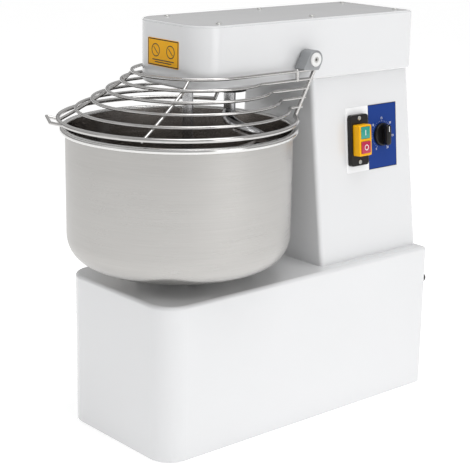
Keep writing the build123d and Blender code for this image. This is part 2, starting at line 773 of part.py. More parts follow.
# ---------------------------------------------------------------- motor
motor_front = gearbox_front - motor_length
motor_cap = 12.0
fan_space = 36.0
cowl_wall = 1.5
fin_count = 20
air_gap = 0.8
motor_tail_plane = Plane(origin=(worm_offset, motor_front, worm_z), x_dir=(1, 0, 0), z_dir=(0, -1, 0))
with BuildPart() as motor_casing:
    with BuildSketch(worm_front_plane):
        Circle(motor_radius - 6)
        with PolarLocations((motor_radius - 9), fin_count):
            Rectangle(14, 2.5)
    extrude(amount=motor_length)
    with BuildSketch(worm_front_plane):
        Circle(motor_radius - 2)
    extrude(amount=8)
    with BuildSketch(worm_front_plane.offset(motor_cap)):
        Circle(rotor_radius + air_gap)
    extrude(amount=motor_length - 2 * motor_cap, mode=Mode.SUBTRACT)
    with BuildSketch(worm_front_plane):
        Circle(worm_shaft_radius + 2)
    extrude(amount=motor_cap, mode=Mode.SUBTRACT)
    with BuildSketch(motor_tail_plane.offset(-motor_cap)):
        Circle(worm_bearing_radius)
    extrude(amount=motor_cap, mode=Mode.SUBTRACT)
motor_casing.part.label = "motor_casing"
export_step(motor_casing.part, "parts/motor_casing.step")

with BuildPart() as fan_cowl:
    with BuildSketch(motor_tail_plane):
        Circle(motor_radius)
        Circle(motor_radius - cowl_wall, mode=Mode.SUBTRACT)
    extrude(amount=fan_space)
    with BuildSketch(motor_tail_plane.offset(fan_space)):
        Circle(motor_radius)
        with PolarLocations(motor_radius * 0.62, 12):
            SlotOverall(28, 5, mode=Mode.SUBTRACT)
    extrude(amount=cowl_wall)
fan_cowl.part.label = "fan_cowl"
export_step(fan_cowl.part, "parts/fan_cowl.step")

with BuildPart() as terminal_box:
    with BuildSketch(Plane.XY.offset(worm_z + motor_radius - 8)):
        with Locations((worm_offset, motor_front + motor_length / 2)):
            RectangleRounded(56, 62, 5)
    extrude(amount=34)
    with BuildSketch(motor_tail_plane.offset(-motor_length)):
        Circle(motor_radius + seam)
    extrude(amount=motor_length, mode=Mode.SUBTRACT)
terminal_box.part.label = "terminal_box"
export_step(terminal_box.part, "parts/terminal_box.step")

with BuildPart() as worm_bearings:
    for plane, width in (
        (worm_front_plane, gearbox_wall),
        (worm_rear_plane, gearbox_wall),
        (motor_tail_plane, motor_cap),
    ):
        with BuildSketch(plane):
            Circle(worm_bearing_radius)
            Circle(worm_shaft_radius + running_fit, mode=Mode.SUBTRACT)
        extrude(amount=-width)
worm_bearings.part.label = "worm_bearings"
export_step(worm_bearings.part, "parts/worm_bearings.step")

with BuildPart() as motor_rotor:
    with BuildSketch(worm_rear_plane.offset(-1)):
        Circle(worm_shaft_radius)
    extrude(amount=-(gearbox_rear - gearbox_front + motor_length + fan_space - 8))
    with BuildSketch(worm_rear_plane.offset(-gearbox_wall - 8)):
        Circle(worm_core_radius)
    extrude(amount=-(gearbox_rear - gearbox_front - 2 * gearbox_wall - 16))
    with BuildSketch(worm_front_plane.offset(motor_cap + 8)):
        Circle(rotor_radius)
    extrude(amount=motor_length - 2 * motor_cap - 16)
motor_rotor.part.label = "motor_rotor"
export_step(motor_rotor.part, "parts/motor_rotor.step")

with BuildPart() as motor_fan:
    with BuildSketch(motor_tail_plane.offset(8)):
        Circle(16)
        with PolarLocations(31, 7):
            Rectangle(34, 3, rotation=20)
        Circle(worm_shaft_radius, mode=Mode.SUBTRACT)
    extrude(amount=16)
motor_fan.part.label = "motor_fan"
export_step(motor_fan.part, "parts/motor_fan.step")

# ---------------------------------------------------------------- bowl and its spindle
housing_top = base_top - 4
lower_spindle_bearing = deck_top + 2
upper_spindle_bearing = housing_top - 4 - large_bearing_width
with BuildPart() as bowl_bearing_housing:
    with BuildSketch(Plane.XY.offset(deck_top)):
        with Locations((0, bowl_y)):
            Circle(housing_radius + 17)
    extrude(amount=9)
    with BuildSketch(Plane.XY.offset(deck_top)):
        with Locations((0, bowl_y)):
            Circle(housing_radius)
    extrude(amount=housing_top - deck_top)
    with BuildSketch(Plane.XY.offset(deck_top)):
        with Locations((0, bowl_y)):
            Circle(spindle_radius + 3)
    extrude(amount=housing_top - deck_top, mode=Mode.SUBTRACT)
    with BuildSketch(Plane.XY.offset(lower_spindle_bearing)):
        with Locations((0, bowl_y)):
            Circle(large_bearing_radius)
    extrude(amount=housing_top - lower_spindle_bearing, mode=Mode.SUBTRACT)
bowl_bearing_housing.part.label = "bowl_bearing_housing"
export_step(bowl_bearing_housing.part, "parts/bowl_bearing_housing.step")

bowl_bearings = bearings(
    spindle_radius + running_fit,
    large_bearing_radius,
    large_bearing_width,
    [(0, bowl_y, lower_spindle_bearing), (0, bowl_y, upper_spindle_bearing)],
)
bowl_bearings.part.label = "bowl_bearings"
export_step(bowl_bearings.part, "parts/bowl_bearings.step")

bowl_spindle_seal = post(0, bowl_y, housing_top, base_top + 1, housing_radius - 2, spindle_radius + seam)
bowl_spindle_seal.part.label = "bowl_spindle_seal"
export_step(bowl_spindle_seal.part, "parts/bowl_spindle_seal.step")

bowl_hub_radius = 72.0
bowl_hub_disc = 12.0
bowl_spindle = post(0, bowl_y, lower_chain_z - 12, bowl_bottom - 3, spindle_radius)
bowl_spindle.part.label = "bowl_spindle"
export_step(bowl_spindle.part, "parts/bowl_spindle.step")

bowl_sprocket = sprocket(bowl_teeth, spindle_radius, 26, 0, bowl_y, lower_chain_z, True)
bowl_sprocket.part.label = "bowl_sprocket"
export_step(bowl_sprocket.part, "parts/bowl_sprocket.step")

bowl_screw_radius = 3.0
bowl_screw_spots = [(46 * cos(radians(a)), bowl_y + 46 * sin(radians(a))) for a in (45, 135, 225, 315)]
with BuildPart() as bowl_hub:
    with BuildSketch(Plane.XY.offset(bowl_bottom - bowl_hub_disc)):
        with Locations((0, bowl_y)):
            Circle(bowl_hub_radius)
    extrude(amount=bowl_hub_disc)
    chamfer(bowl_hub.edges().group_by(Axis.Z)[0], 4)
    with BuildSketch(Plane.XY.offset(base_top + 3)):
        with Locations((0, bowl_y)):
            Circle(spindle_radius + 12)
    extrude(amount=bowl_lift - bowl_hub_disc)
    with BuildSketch(Plane.XY.offset(base_top)):
        with Locations((0, bowl_y)):
            Circle(spindle_radius)
    extrude(amount=bowl_lift - 3, mode=Mode.SUBTRACT)
    with BuildSketch(Plane.XY.offset(bowl_bottom)):
        with Locations(*bowl_screw_spots):
            Circle(bowl_screw_radius)
    extrude(amount=-bowl_hub_disc, mode=Mode.SUBTRACT)
bowl_hub.part.label = "bowl_hub"
export_step(bowl_hub.part, "parts/bowl_hub.step")

# Pressed bowl: flat floor, large corner, straight wall and a rolled bead at the rim.
bowl_inner = bowl_radius - bowl_sheet
corner_middle_r = bowl_radius - bowl_corner_radius
with BuildPart() as bowl:
    with BuildSketch(Plane(origin=(0, bowl_y, 0), x_dir=(1, 0, 0), z_dir=(0, -1, 0))):
        with BuildLine():
            floor = Line((0, bowl_bottom), (corner_middle_r, bowl_bottom))
            corner = JernArc(floor @ 1, (1, 0), bowl_corner_radius, 90)
            wall = Line(corner @ 1, (bowl_radius, rim_z))
            lip = Line(wall @ 1, (bowl_inner, rim_z))
            inner_wall = Line(lip @ 1, (bowl_inner, bowl_bottom + bowl_corner_radius))
            inner_corner = JernArc(inner_wall @ 1, (0, -1), bowl_corner_radius - bowl_sheet, -90)
            inner_floor = Line(inner_corner @ 1, (0, bowl_bottom + bowl_sheet))
            Line(inner_floor @ 1, floor @ 0)
        make_face()
        with Locations((bowl_radius + rim_bead_out, rim_z)):
            Circle(rim_bead_radius)
    revolve(axis=Axis((0, bowl_y, 0), (0, 0, 1)))
    with BuildSketch(Plane.XY.offset(bowl_bottom)):
        with Locations(*bowl_screw_spots):
            Circle(bowl_screw_radius + 0.2)
    extrude(amount=bowl_sheet, mode=Mode.SUBTRACT)
bowl.part.label = "bowl"
export_step(bowl.part, "parts/bowl.step")

bowl_screws = screws(
    Plane.XY.offset(bowl_bottom + bowl_sheet), bowl_screw_spots, 6, 2.5, bowl_screw_radius, bowl_sheet + 9
)
bowl_screws.part.label = "bowl_screws"
export_step(bowl_screws.part, "parts/bowl_screws.step")

# ---------------------------------------------------------------- spiral, its bearings and the breaker bar
spiral_housing_low = arm_top - 22
spiral_housing_high = upper_chain_z - sprocket_thickness / 2 - 18
lower_spiral_bearing = spiral_housing_low + 2
upper_spiral_bearing = spiral_housing_high - small_bearing_width - 2
with BuildPart() as spiral_housing:
    with BuildSketch(Plane.XY.offset(spiral_housing_low)):
        with Locations((0, spiral_y)):
            Circle(spiral_housing_radius)
    extrude(amount=spiral_housing_high - spiral_housing_low)
    with BuildSketch(Plane.XY.offset(arm_top)):
        with Locations((0, spiral_y)):
            Circle(spiral_housing_radius + 13)
    extrude(amount=8)
    with BuildSketch(Plane.XY.offset(spiral_housing_low)):
        with Locations((0, spiral_y)):
            Circle(small_bearing_radius)
    extrude(amount=spiral_housing_high - spiral_housing_low, mode=Mode.SUBTRACT)
spiral_housing.part.label = "spiral_housing"
export_step(spiral_housing.part, "parts/spiral_housing.step")

# The same bearing carries the tall shaft in the gearbox and at its top, and the spiral's shaft.
small_bearings = bearings(
    tall_shaft_radius + running_fit,
    small_bearing_radius,
    small_bearing_width,
    [
        (0, drive_y, lower_bearing_low),
        (0, drive_y, upper_bearing_low),
        (0, drive_y, top_bearing_low),
        (0, spiral_y, lower_spiral_bearing),
        (0, spiral_y, upper_spiral_bearing),
    ],
)
small_bearings.part.label = "small_bearings"
export_step(small_bearings.part, "parts/small_bearings.step")

seal_thickness = 5.0
spiral_seal = post(
    0,
    spiral_y,
    spiral_housing_low - seal_thickness,
    spiral_housing_low,
    small_bearing_radius,
    tall_shaft_radius + seam,
)
spiral_seal.part.label = "spiral_seal"
export_step(spiral_seal.part, "parts/spiral_seal.step")

spiral_sprocket = sprocket(spiral_teeth, tall_shaft_radius, 20, 0, spiral_y, upper_chain_z, False)
spiral_sprocket.part.label = "spiral_sprocket"
export_step(spiral_sprocket.part, "parts/spiral_sprocket.step")

spiral_low = bowl_bottom + bowl_sheet + spiral_clearance + spiral_bar_radius
spiral_high = head_bottom - spiral_start_drop
spiral_line = spiral_reach - spiral_bar_radius
lead_in = 0.14  # share of the spiral's length in which it swings out from its shaft
lead_out = 0.3  # share in which it draws in towards its tip
tip_draw = 0.4
spiral_start_turn = -60.0
spiral_points = 41


def smooth(t):
    """Rises gently from 0 to 1."""
    return t * t * (3 - 2 * t)


def spiral_point(t):
    """Point of the spiral's centre line, t from 0 at its top to 1 at its tip."""
    turn = radians(spiral_start_turn + 360 * spiral_turns * t)
    swing = sin(pi / 2 * min(t / lead_in, 1))
    radius = spiral_line * swing * (1 - tip_draw * smooth(max((t - 1 + lead_out) / lead_out, 0)))
    return (radius * cos(turn), spiral_y + radius * sin(turn), spiral_high + (spiral_low - spiral_high) * t)


with BuildPart() as spiral_tool:
    with BuildLine() as spiral_path:
        Spline(*[spiral_point(i / (spiral_points - 1)) for i in range(spiral_points)])
    with BuildSketch(Plane(origin=spiral_path.line @ 0, z_dir=spiral_path.line % 0)):
        Circle(spiral_bar_radius)
    sweep()
    with Locations(spiral_path.line @ 0, spiral_path.line @ 1):
        Sphere(spiral_bar_radius)
    with BuildSketch(Plane.XY.offset(spiral_high)):
        with Locations((0, spiral_y)):
            Circle(spiral_bar_radius)
    extrude(amount=spiral_housing_low - seal_thickness - spiral_high)
    with BuildSketch(Plane.XY.offset(spiral_housing_low - seal_thickness)):
        with Locations((0, spiral_y)):
            Circle(tall_shaft_radius)
    extrude(amount=upper_chain_z + 10 - spiral_housing_low + seal_thickness)
spiral_tool.part.label = "spiral_tool"
export_step(spiral_tool.part, "parts/spiral_tool.step")

with BuildPart() as breaker_bar:
    with BuildSketch(Plane.XY.offset(bowl_bottom + bowl_sheet + breaker_clearance)):
        with Locations((0, breaker_y)):
            Circle(breaker_radius)
    extrude(amount=arm_bottom - bowl_bottom - bowl_sheet - breaker_clearance)
    fillet(breaker_bar.edges().group_by(Axis.Z)[0], 4)
    with BuildSketch(Plane.XY.offset(arm_bottom)):
        with Locations((0, breaker_y)):
            Circle(stud_radius)
    extrude(amount=arm_thickness + 14)
breaker_bar.part.label = "breaker_bar"
export_step(breaker_bar.part, "parts/breaker_bar.step")

with BuildPart() as breaker_nut:
    with BuildSketch(Plane.XY.offset(arm_top)):
        with Locations((0, breaker_y)):
            RegularPolygon(9.5, 6, major_radius=False)
            Circle(stud_radius, mode=Mode.SUBTRACT)
    extrude(amount=10)
breaker_nut.part.label = "breaker_nut"
export_step(breaker_nut.part, "parts/breaker_nut.step")

# ---------------------------------------------------------------- wire guard
rim_ring_z = rim_z + guard_rim_gap
top_ring_z = rim_ring_z + len(guard_ring_radii) * guard_ring_step
end_wire_lean = 0.485  # end wires lean back towards the hinge
end_wire_foot_y = bowl_y + 157.0
lever_foot_drop = 16.0  # underside of the levers below the hinge axis
top_bar_rear = hinge_y + 6.0
short_post_y = hinge_y - 27.5  # short wires between the top ring and the ring below it


def end_wire_y(z):
    """Where the guard's end wire stands at height z."""
    return end_wire_foot_y + end_wire_lean * (z - rim_ring_z)


def wire_arc(x, y, z, radius, start, sweep_angle, wire_radius):
    """Round wire along a level arc, from start (degrees from +X) round by sweep_angle."""
    a = radians(start)
    with BuildPart() as piece:
        with BuildSketch(
            Plane(
                origin=(x + radius * cos(a), y + radius * sin(a), z),
                x_dir=(0, 0, 1),
                z_dir=(-sin(a), cos(a), 0),
            )
        ):
            Circle(wire_radius)
        revolve(axis=Axis((x, y, z), (0, 0, 1)), revolution_arc=sweep_angle)
    return piece


def wire_bar(x, y_front, y_rear, z):
    """Straight level guard wire along Y."""
    with BuildPart() as piece:
        with BuildSketch(Plane(origin=(x, y_front, z), x_dir=(1, 0, 0), z_dir=(0, 1, 0))):
            Circle(guard_wire_radius)
        extrude(amount=y_rear - y_front)
    return piece


def guard_ring(radius, center_y, z, rear_y):
    """Ring wire: a long arc round the front, a small bend at each end, and two straight bars."""
    far = guard_side_reach + guard_bend_radius
    bend_y = center_y + sqrt((radius + guard_bend_radius) ** 2 - far**2)
    turn = degrees(atan2(bend_y - center_y, far))
    with BuildPart() as piece:
        add(wire_arc(0, center_y, z, radius, 180 - turn, 180 + 2 * turn, guard_wire_radius).part)
        add(wire_arc(far, bend_y, z, guard_bend_radius, 180, turn, guard_wire_radius).part)
        add(wire_arc(-far, bend_y, z, guard_bend_radius, -turn, turn, guard_wire_radius).part)
        for x in (-guard_side_reach, guard_side_reach):
            add(wire_bar(x, bend_y, rear_y, z).part)
    return piece


def rods(points, radius):
    """Straight rods from point to point with rounded joints."""
    with BuildPart() as piece:
        for a, b in zip(points, points[1:]):
            run = Vector(b) - Vector(a)
            with BuildSketch(Plane(origin=a, z_dir=run)):
                Circle(radius)
            extrude(amount=run.length)
        with Locations(*points):
            Sphere(radius)
    return piece


def plan_crossing(start, heading, center, radius):
    """Point where a level line from start meets a circle, ahead of the start."""
    away = start - center
    along = away.dot(heading)
    return start + heading * (-along + sqrt(along**2 - away.dot(away) + radius**2))


ring_heights = [rim_ring_z + k * guard_ring_step for k in range(len(guard_ring_radii))]
ring_centers = [bowl_y + shift for shift in guard_ring_shifts]
top_ring_center = bowl_y + guard_top_shift
weld = 1.0  # how far crossing wires sink into each other

# Spokes run under the rings, from the top wire down to the rim ring.
spoke_drop = 2 * guard_wire_radius - weld
spoke_inset = 3.0
spoke_angle = radians(guard_spoke_angle)
spoke_foot = Vector(
    guard_ring_radii[0] * sin(spoke_angle), ring_centers[0] - guard_ring_radii[0] * cos(spoke_angle)
)
spoke_head_angle = radians(guard_spoke_angle + 10)
spoke_head = Vector(
    guard_side_reach * sin(spoke_head_angle), top_ring_center - guard_side_reach * cos(spoke_head_angle)
)
spoke_heading = (spoke_foot - spoke_head).normalized()
spoke_points = [spoke_head + Vector(0, 0, top_ring_z - spoke_drop * 0.85)]
for ring_radius, ring_center, ring_z in reversed(list(zip(guard_ring_radii, ring_centers, ring_heights))):
    crossing = plan_crossing(spoke_head, spoke_heading, Vector(0, ring_center), ring_radius)
    spoke_points.append(crossing - spoke_heading * spoke_inset + Vector(0, 0, ring_z - spoke_drop * 0.8))
spoke_points = [(p.X, p.Y, p.Z) for p in spoke_points]
mirrored_spoke_points = [(-x, y, z) for x, y, z in spoke_points]


def polar_point(radius, angle_from_front, z):
    """Point round the bowl, angle measured from the front towards -X."""
    a = radians(angle_from_front)
    return (-radius * sin(a), ring_centers[0] - radius * cos(a), z)


handle_out = guard_ring_radii[0] + guard_handle_reach
handle_points = [
    mirrored_spoke_points[-1],
    polar_point(handle_out, guard_spoke_angle, rim_ring_z + 2),
    polar_point(handle_out - 2, guard_spoke_angle - 0.7 * guard_handle_angle, rim_ring_z),
    polar_point(guard_ring_radii[0] + 2, guard_spoke_angle - guard_handle_angle, rim_ring_z - 1),
]
rim_end_y = ring_centers[0] + sqrt(guard_ring_radii[0] ** 2 - guard_side_reach**2)
rim_end_turn = degrees(atan2(rim_end_y - ring_centers[0], guard_side_reach))
with BuildPart() as guard_cage:
    for k in range(1, len(guard_ring_radii)):
        ring_rear = end_wire_y(ring_heights[k]) + 2
        add(guard_ring(guard_ring_radii[k], ring_centers[k], ring_heights[k], ring_rear).part)
    add(wire_arc(0, top_ring_center, top_ring_z, guard_side_reach, 180, 180, guard_wire_radius).part)
    for x in (-guard_side_reach, guard_side_reach):
        add(wire_bar(x, top_ring_center, top_bar_rear, top_ring_z).part)
    add(
        wire_arc(
            0,
            ring_centers[0],
            rim_ring_z,
            guard_ring_radii[0],
            180 - rim_end_turn,
            180 + 2 * rim_end_turn,
            guard_rim_wire_radius,
        ).part
    )
    for x in (-guard_side_reach, guard_side_reach):
        end_wire_top = hinge_height - lever_foot_drop
        end_wire_points = [(x, rim_end_y, rim_ring_z), (x, end_wire_y(end_wire_top), end_wire_top)]
        add(rods(end_wire_points, guard_end_wire_radius).part)
        post_points = [(x, short_post_y, ring_heights[-1]), (x, short_post_y, top_ring_z)]
        add(rods(post_points, guard_end_wire_radius).part)
    add(rods(spoke_points, guard_wire_radius).part)
    add(rods(mirrored_spoke_points, guard_wire_radius).part)
    add(rods(handle_points, guard_wire_radius).part)
guard_cage.part.label = "guard_cage"
export_step(guard_cage.part, "parts/guard_cage.step")

lever_inner = head_width / 2 + lever_gap
lever_outer = guard_side_reach + lever_outer_reach
lever_step = 2.5  # the boss stands this far in from the lever's flat side
lever_corner_radius = 2.0
lever_foot_corners = [
    (hinge_y - 23, hinge_height - lever_foot_drop + 3),
    (hinge_y + 6, hinge_height - 14.5),
]
cap_radius = 11.0
cap_seat = 1.0
with BuildPart() as guard_levers:
    for side in (-1, 1):
        lever_plane = Plane(origin=(side * lever_inner, 0, 0), x_dir=(0, 1, 0), z_dir=(side, 0, 0))
        with BuildSketch(lever_plane.offset(lever_step)):
            with Locations((hinge_y, side * hinge_height)):
                Circle(lever_boss_radius)
            with Locations(*[(y, side * z) for y, z in lever_foot_corners]):
                Circle(lever_corner_radius)
            make_hull()
        extrude(amount=lever_outer - lever_inner - lever_step)
        boss_plane = Plane(
            origin=(side * lever_inner, hinge_y, hinge_height), x_dir=(0, 1, 0), z_dir=(side, 0, 0)
        )
        with BuildSketch(boss_plane):
            Circle(lever_boss_radius - 1)
        extrude(amount=lever_step)
        with BuildSketch(boss_plane):
            Circle(hinge_pin_radius)
        extrude(amount=lever_outer - lever_inner, mode=Mode.SUBTRACT)
        with BuildSketch(boss_plane.offset(lever_outer - lever_inner - cap_seat)):
            Circle(cap_radius + seam)
        extrude(amount=cap_seat, mode=Mode.SUBTRACT)
guard_levers.part.label = "guard_levers"
export_step(guard_levers.part, "parts/guard_levers.step")

bush_inner = head_width / 2 - sheet - 6
with BuildPart() as hinge_bushes:
    for side in (-1, 1):
        with BuildSketch(Plane.YZ.offset(side * bush_inner)):
            with Locations((hinge_y, hinge_height)):
                Circle(bush_radius)
        extrude(amount=side * (head_width / 2 + bush_flange - bush_inner))
        with BuildSketch(Plane.YZ.offset(side * head_width / 2)):
            with Locations((hinge_y, hinge_height)):
                Circle(bush_radius + 3.0)
        extrude(amount=side * bush_flange)
        with BuildSketch(Plane.YZ.offset(side * bush_inner)):
            with Locations((hinge_y, hinge_height)):
                Circle(hinge_pin_radius + running_fit)
        extrude(amount=side * 2 * bush_radius, mode=Mode.SUBTRACT)
hinge_bushes.part.label = "hinge_bushes"
export_step(hinge_bushes.part, "parts/hinge_bushes.step")

# Shoulder bolts: a pin through lever and bush, and a socket head that shows through the cap.
pin_inner = bush_inner - 9
cap_thickness = 2.5
cap_low = lever_outer - cap_seat
bolt_head_radius = 4.8
bolt_socket_radius = 2.6
with BuildPart() as hinge_pins:
    for side in (-1, 1):
        with BuildSketch(Plane.YZ.offset(side * pin_inner)):
            with Locations((hinge_y, hinge_height)):
                Circle(hinge_pin_radius)
        extrude(amount=side * (cap_low - pin_inner))
        with BuildSketch(Plane.YZ.offset(side * cap_low)):
            with Locations((hinge_y, hinge_height)):
                Circle(bolt_head_radius)
        extrude(amount=side * (cap_thickness - 0.6))
        with BuildSketch(Plane.YZ.offset(side * (cap_low - 2))):
            with Locations((hinge_y, hinge_height)):
                RegularPolygon(bolt_socket_radius, 6)
        extrude(amount=side * 6, mode=Mode.SUBTRACT)
hinge_pins.part.label = "hinge_pins"
export_step(hinge_pins.part, "parts/hinge_pins.step")

with BuildPart() as lever_caps:
    for side in (-1, 1):
        cap_plane = Plane(
            origin=(side * cap_low, hinge_y, hinge_height), x_dir=(0, 1, 0), z_dir=(side, 0, 0)
        )
        with BuildSketch(cap_plane):
            Circle(cap_radius)
        extrude(amount=cap_thickness - 0.8)
        with BuildSketch(cap_plane.offset(cap_thickness - 0.8)):
            Circle(cap_radius)
        extrude(amount=0.8, taper=45)
        with BuildSketch(cap_plane):
            Circle(bolt_head_radius)
        extrude(amount=cap_thickness, mode=Mode.SUBTRACT)
lever_caps.part.label = "lever_caps"
export_step(lever_caps.part, "parts/lever_caps.step")

# Cam on the right-hand pin, which lets the guard switch open as soon as the guard is lifted.
cam_radius = 14.0
cam_thickness = 6.0
with BuildPart() as guard_cam:
    with BuildSketch(Plane.YZ.offset(pin_inner + 1)):
        with Locations((hinge_y, hinge_height)):
            Circle(cam_radius)
            Circle(hinge_pin_radius, mode=Mode.SUBTRACT)
        with Locations((hinge_y + cam_radius, hinge_height)):
            Circle(4, mode=Mode.SUBTRACT)
    extrude(amount=cam_thickness)
guard_cam.part.label = "guard_cam"
export_step(guard_cam.part, "parts/guard_cam.step")

switch_reach = hinge_y + cam_radius + 1
with BuildPart() as guard_switch:
    with BuildSketch(Plane.YZ.offset(pin_inner)):
        with Locations((switch_reach + 16, hinge_height)):
            Rectangle(20, 28)
    extrude(amount=cam_thickness + 4)
    with BuildSketch(Plane(origin=(pin_inner + 1 + cam_thickness / 2, switch_reach + 6, hinge_height),
                           x_dir=(1, 0, 0), z_dir=(0, -1, 0))):
        Circle(2)
    extrude(amount=5)
guard_switch.part.label = "guard_switch"
export_step(guard_switch.part, "parts/guard_switch.step")

# ---------------------------------------------------------------- control panel
housing_x = switch_x - 1.5
housing_z = 0.8
start_z = 13.5
stop_z = start_z - button_pitch
box_face = panel_thickness + switch_box_depth
housing_face = box_face + housing_depth
well_floor = -1.0  # bottom of the wells the buttons sink into
button_low = well_floor + sliding_fit + button_travel
block_top = panel_thickness
block_depth = 34.0
window_radius = 1.5
button_spots = [(housing_x, start_z), (housing_x, stop_z)]

outward = Axis(panel_plane.origin, panel_plane.z_dir)
with BuildPart() as control_label:
    with BuildSketch(panel_plane):
        Rectangle(panel_width, panel_height)
        with Locations((switch_x, 0)):
            RectangleRounded(switch_hole_width, switch_hole_height, 2, mode=Mode.SUBTRACT)
        with Locations((knob_x, knob_z)):
            Circle(timer_shaft_radius + 1, mode=Mode.SUBTRACT)
        with Locations(*switch_screw_spots):
            Circle(screw_hole_radius, mode=Mode.SUBTRACT)
    extrude(amount=panel_thickness)
control_label.part.label = "control_label"
export_step(control_label.part, "parts/control_label.step")

with BuildPart() as switch_box:
    with BuildSketch(panel_plane.offset(panel_thickness)):
        with Locations((switch_x, 0)):
            RectangleRounded(switch_box_width, switch_box_height, 5)
    extrude(amount=switch_box_depth)
    fillet(switch_box.faces().sort_by(outward)[-1].edges(), 1.5)
    with BuildSketch(panel_plane.offset(panel_thickness)):
        with Locations(*button_spots):
            RectangleRounded(button_width + 2 * sliding_fit, button_height + 2 * sliding_fit, window_radius)
        with Locations(*switch_screw_spots):
            Circle(screw_hole_radius)
    extrude(amount=switch_box_depth + 1, mode=Mode.SUBTRACT)
    with BuildSketch(panel_plane.offset(box_face)):
        with Locations(*switch_screw_spots):
            Circle(screw_head_radius + 0.5)
    extrude(amount=-screw_head_height, mode=Mode.SUBTRACT)
switch_box.part.label = "switch_box"
export_step(switch_box.part, "parts/switch_box.step")

# One kind of small screw holds the base's rear panel, the column's rear cover and the switch box.
with BuildPart() as cover_screws:
    for plane, spots in (
        (rear_panel_plane.offset(rear_panel_thickness), panel_screw_spots),
        (column_cover_plane.offset(rear_panel_thickness), column_screw_spots),
        (panel_plane.offset(box_face - screw_head_height), switch_screw_spots),
    ):
        add(screws(plane, spots, screw_head_radius, screw_head_height, small_screw_radius, 9).part)
cover_screws.part.label = "cover_screws"
export_step(cover_screws.part, "parts/cover_screws.step")

with BuildPart() as switch_housing:
    with BuildSketch(panel_plane.offset(box_face)):
        with Locations((housing_x, housing_z)):
            RectangleRounded(housing_width, housing_height, 3)
    extrude(amount=housing_depth, taper=1)
    fillet(switch_housing.faces().sort_by(outward)[-1].edges(), 1.5)
    with BuildSketch(panel_plane.offset(box_face)):
        with Locations(*button_spots):
            RectangleRounded(button_width + 2 * sliding_fit, button_height + 2 * sliding_fit, window_radius)
    extrude(amount=housing_depth + 1, mode=Mode.SUBTRACT)
switch_housing.part.label = "switch_housing"
export_step(switch_housing.part, "parts/switch_housing.step")

with BuildPart() as switch_block:
    with BuildSketch(panel_plane.offset(block_top)):
        with Locations((switch_x, 0)):
            RectangleRounded(switch_hole_width - 2, switch_hole_height - 2, 2)
    extrude(amount=-block_depth)
    with BuildSketch(panel_plane.offset(block_top)):
        with Locations(*button_spots):
            RectangleRounded(button_width + 2 * sliding_fit, button_height + 2 * sliding_fit, window_radius)
    extrude(amount=well_floor - block_top, mode=Mode.SUBTRACT)
switch_block.part.label = "switch_block"
export_step(switch_block.part, "parts/switch_block.step")

for name, height, proud in (("start_button", start_z, 0.5), ("stop_button", stop_z, 2.0)):
    with BuildPart() as button:
        with BuildSketch(panel_plane.offset(button_low)):
            with Locations((housing_x, height)):
                RectangleRounded(button_width, button_height, window_radius - sliding_fit)
        extrude(amount=housing_face + proud - button_low)
        fillet(button.faces().sort_by(outward)[-1].edges(), 1.2)
    button.part.label = name
    export_step(button.part, f"parts/{name}.step")

timer_depth = 32.0
timer_top = -sheet
with BuildPart() as timer_body:
    with BuildSketch(panel_plane.offset(timer_top)):
        with Locations((knob_x, knob_z)):
            RectangleRounded(40, 40, 3)
    extrude(amount=-timer_depth)
    with BuildSketch(panel_plane.offset(timer_top)):
        with Locations((knob_x, knob_z)):
            Circle(timer_shaft_radius + running_fit)
    extrude(amount=-20, mode=Mode.SUBTRACT)
timer_body.part.label = "timer_body"
export_step(timer_body.part, "parts/timer_body.step")

knob_low = panel_thickness + 0.6
knob_flange = 5.0
knob_grip_width = 21.0
with BuildPart() as timer_knob:
    with BuildSketch(panel_plane.offset(knob_low)):
        with Locations((knob_x, knob_z)):
            Circle(knob_radius)
    extrude(amount=knob_flange)
    chamfer(timer_knob.faces().sort_by(outward)[-1].edges(), 1)
    with BuildSketch(panel_plane.offset(knob_low)):
        with Locations((knob_x, knob_z)):
            SlotOverall(2 * knob_radius - 7, knob_grip_width, rotation=90)
    extrude(amount=knob_height)
    fillet(timer_knob.faces().sort_by(outward)[-1].edges(), 1)
    with BuildSketch(panel_plane.offset(knob_low)):
        with Locations((knob_x, knob_z)):
            Circle(timer_shaft_radius)
    extrude(amount=-(knob_low + sheet + 18))
timer_knob.part.label = "timer_knob"
export_step(timer_knob.part, "parts/timer_knob.step")
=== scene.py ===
"""Spiral dough mixer: detailed pieces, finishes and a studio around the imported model."""
import json
from math import atan, cos, pi, radians, sin, tau

import bmesh
import bpy
from bpy.props import FloatProperty, FloatVectorProperty, IntProperty, PointerProperty
from mathutils import Matrix, Vector


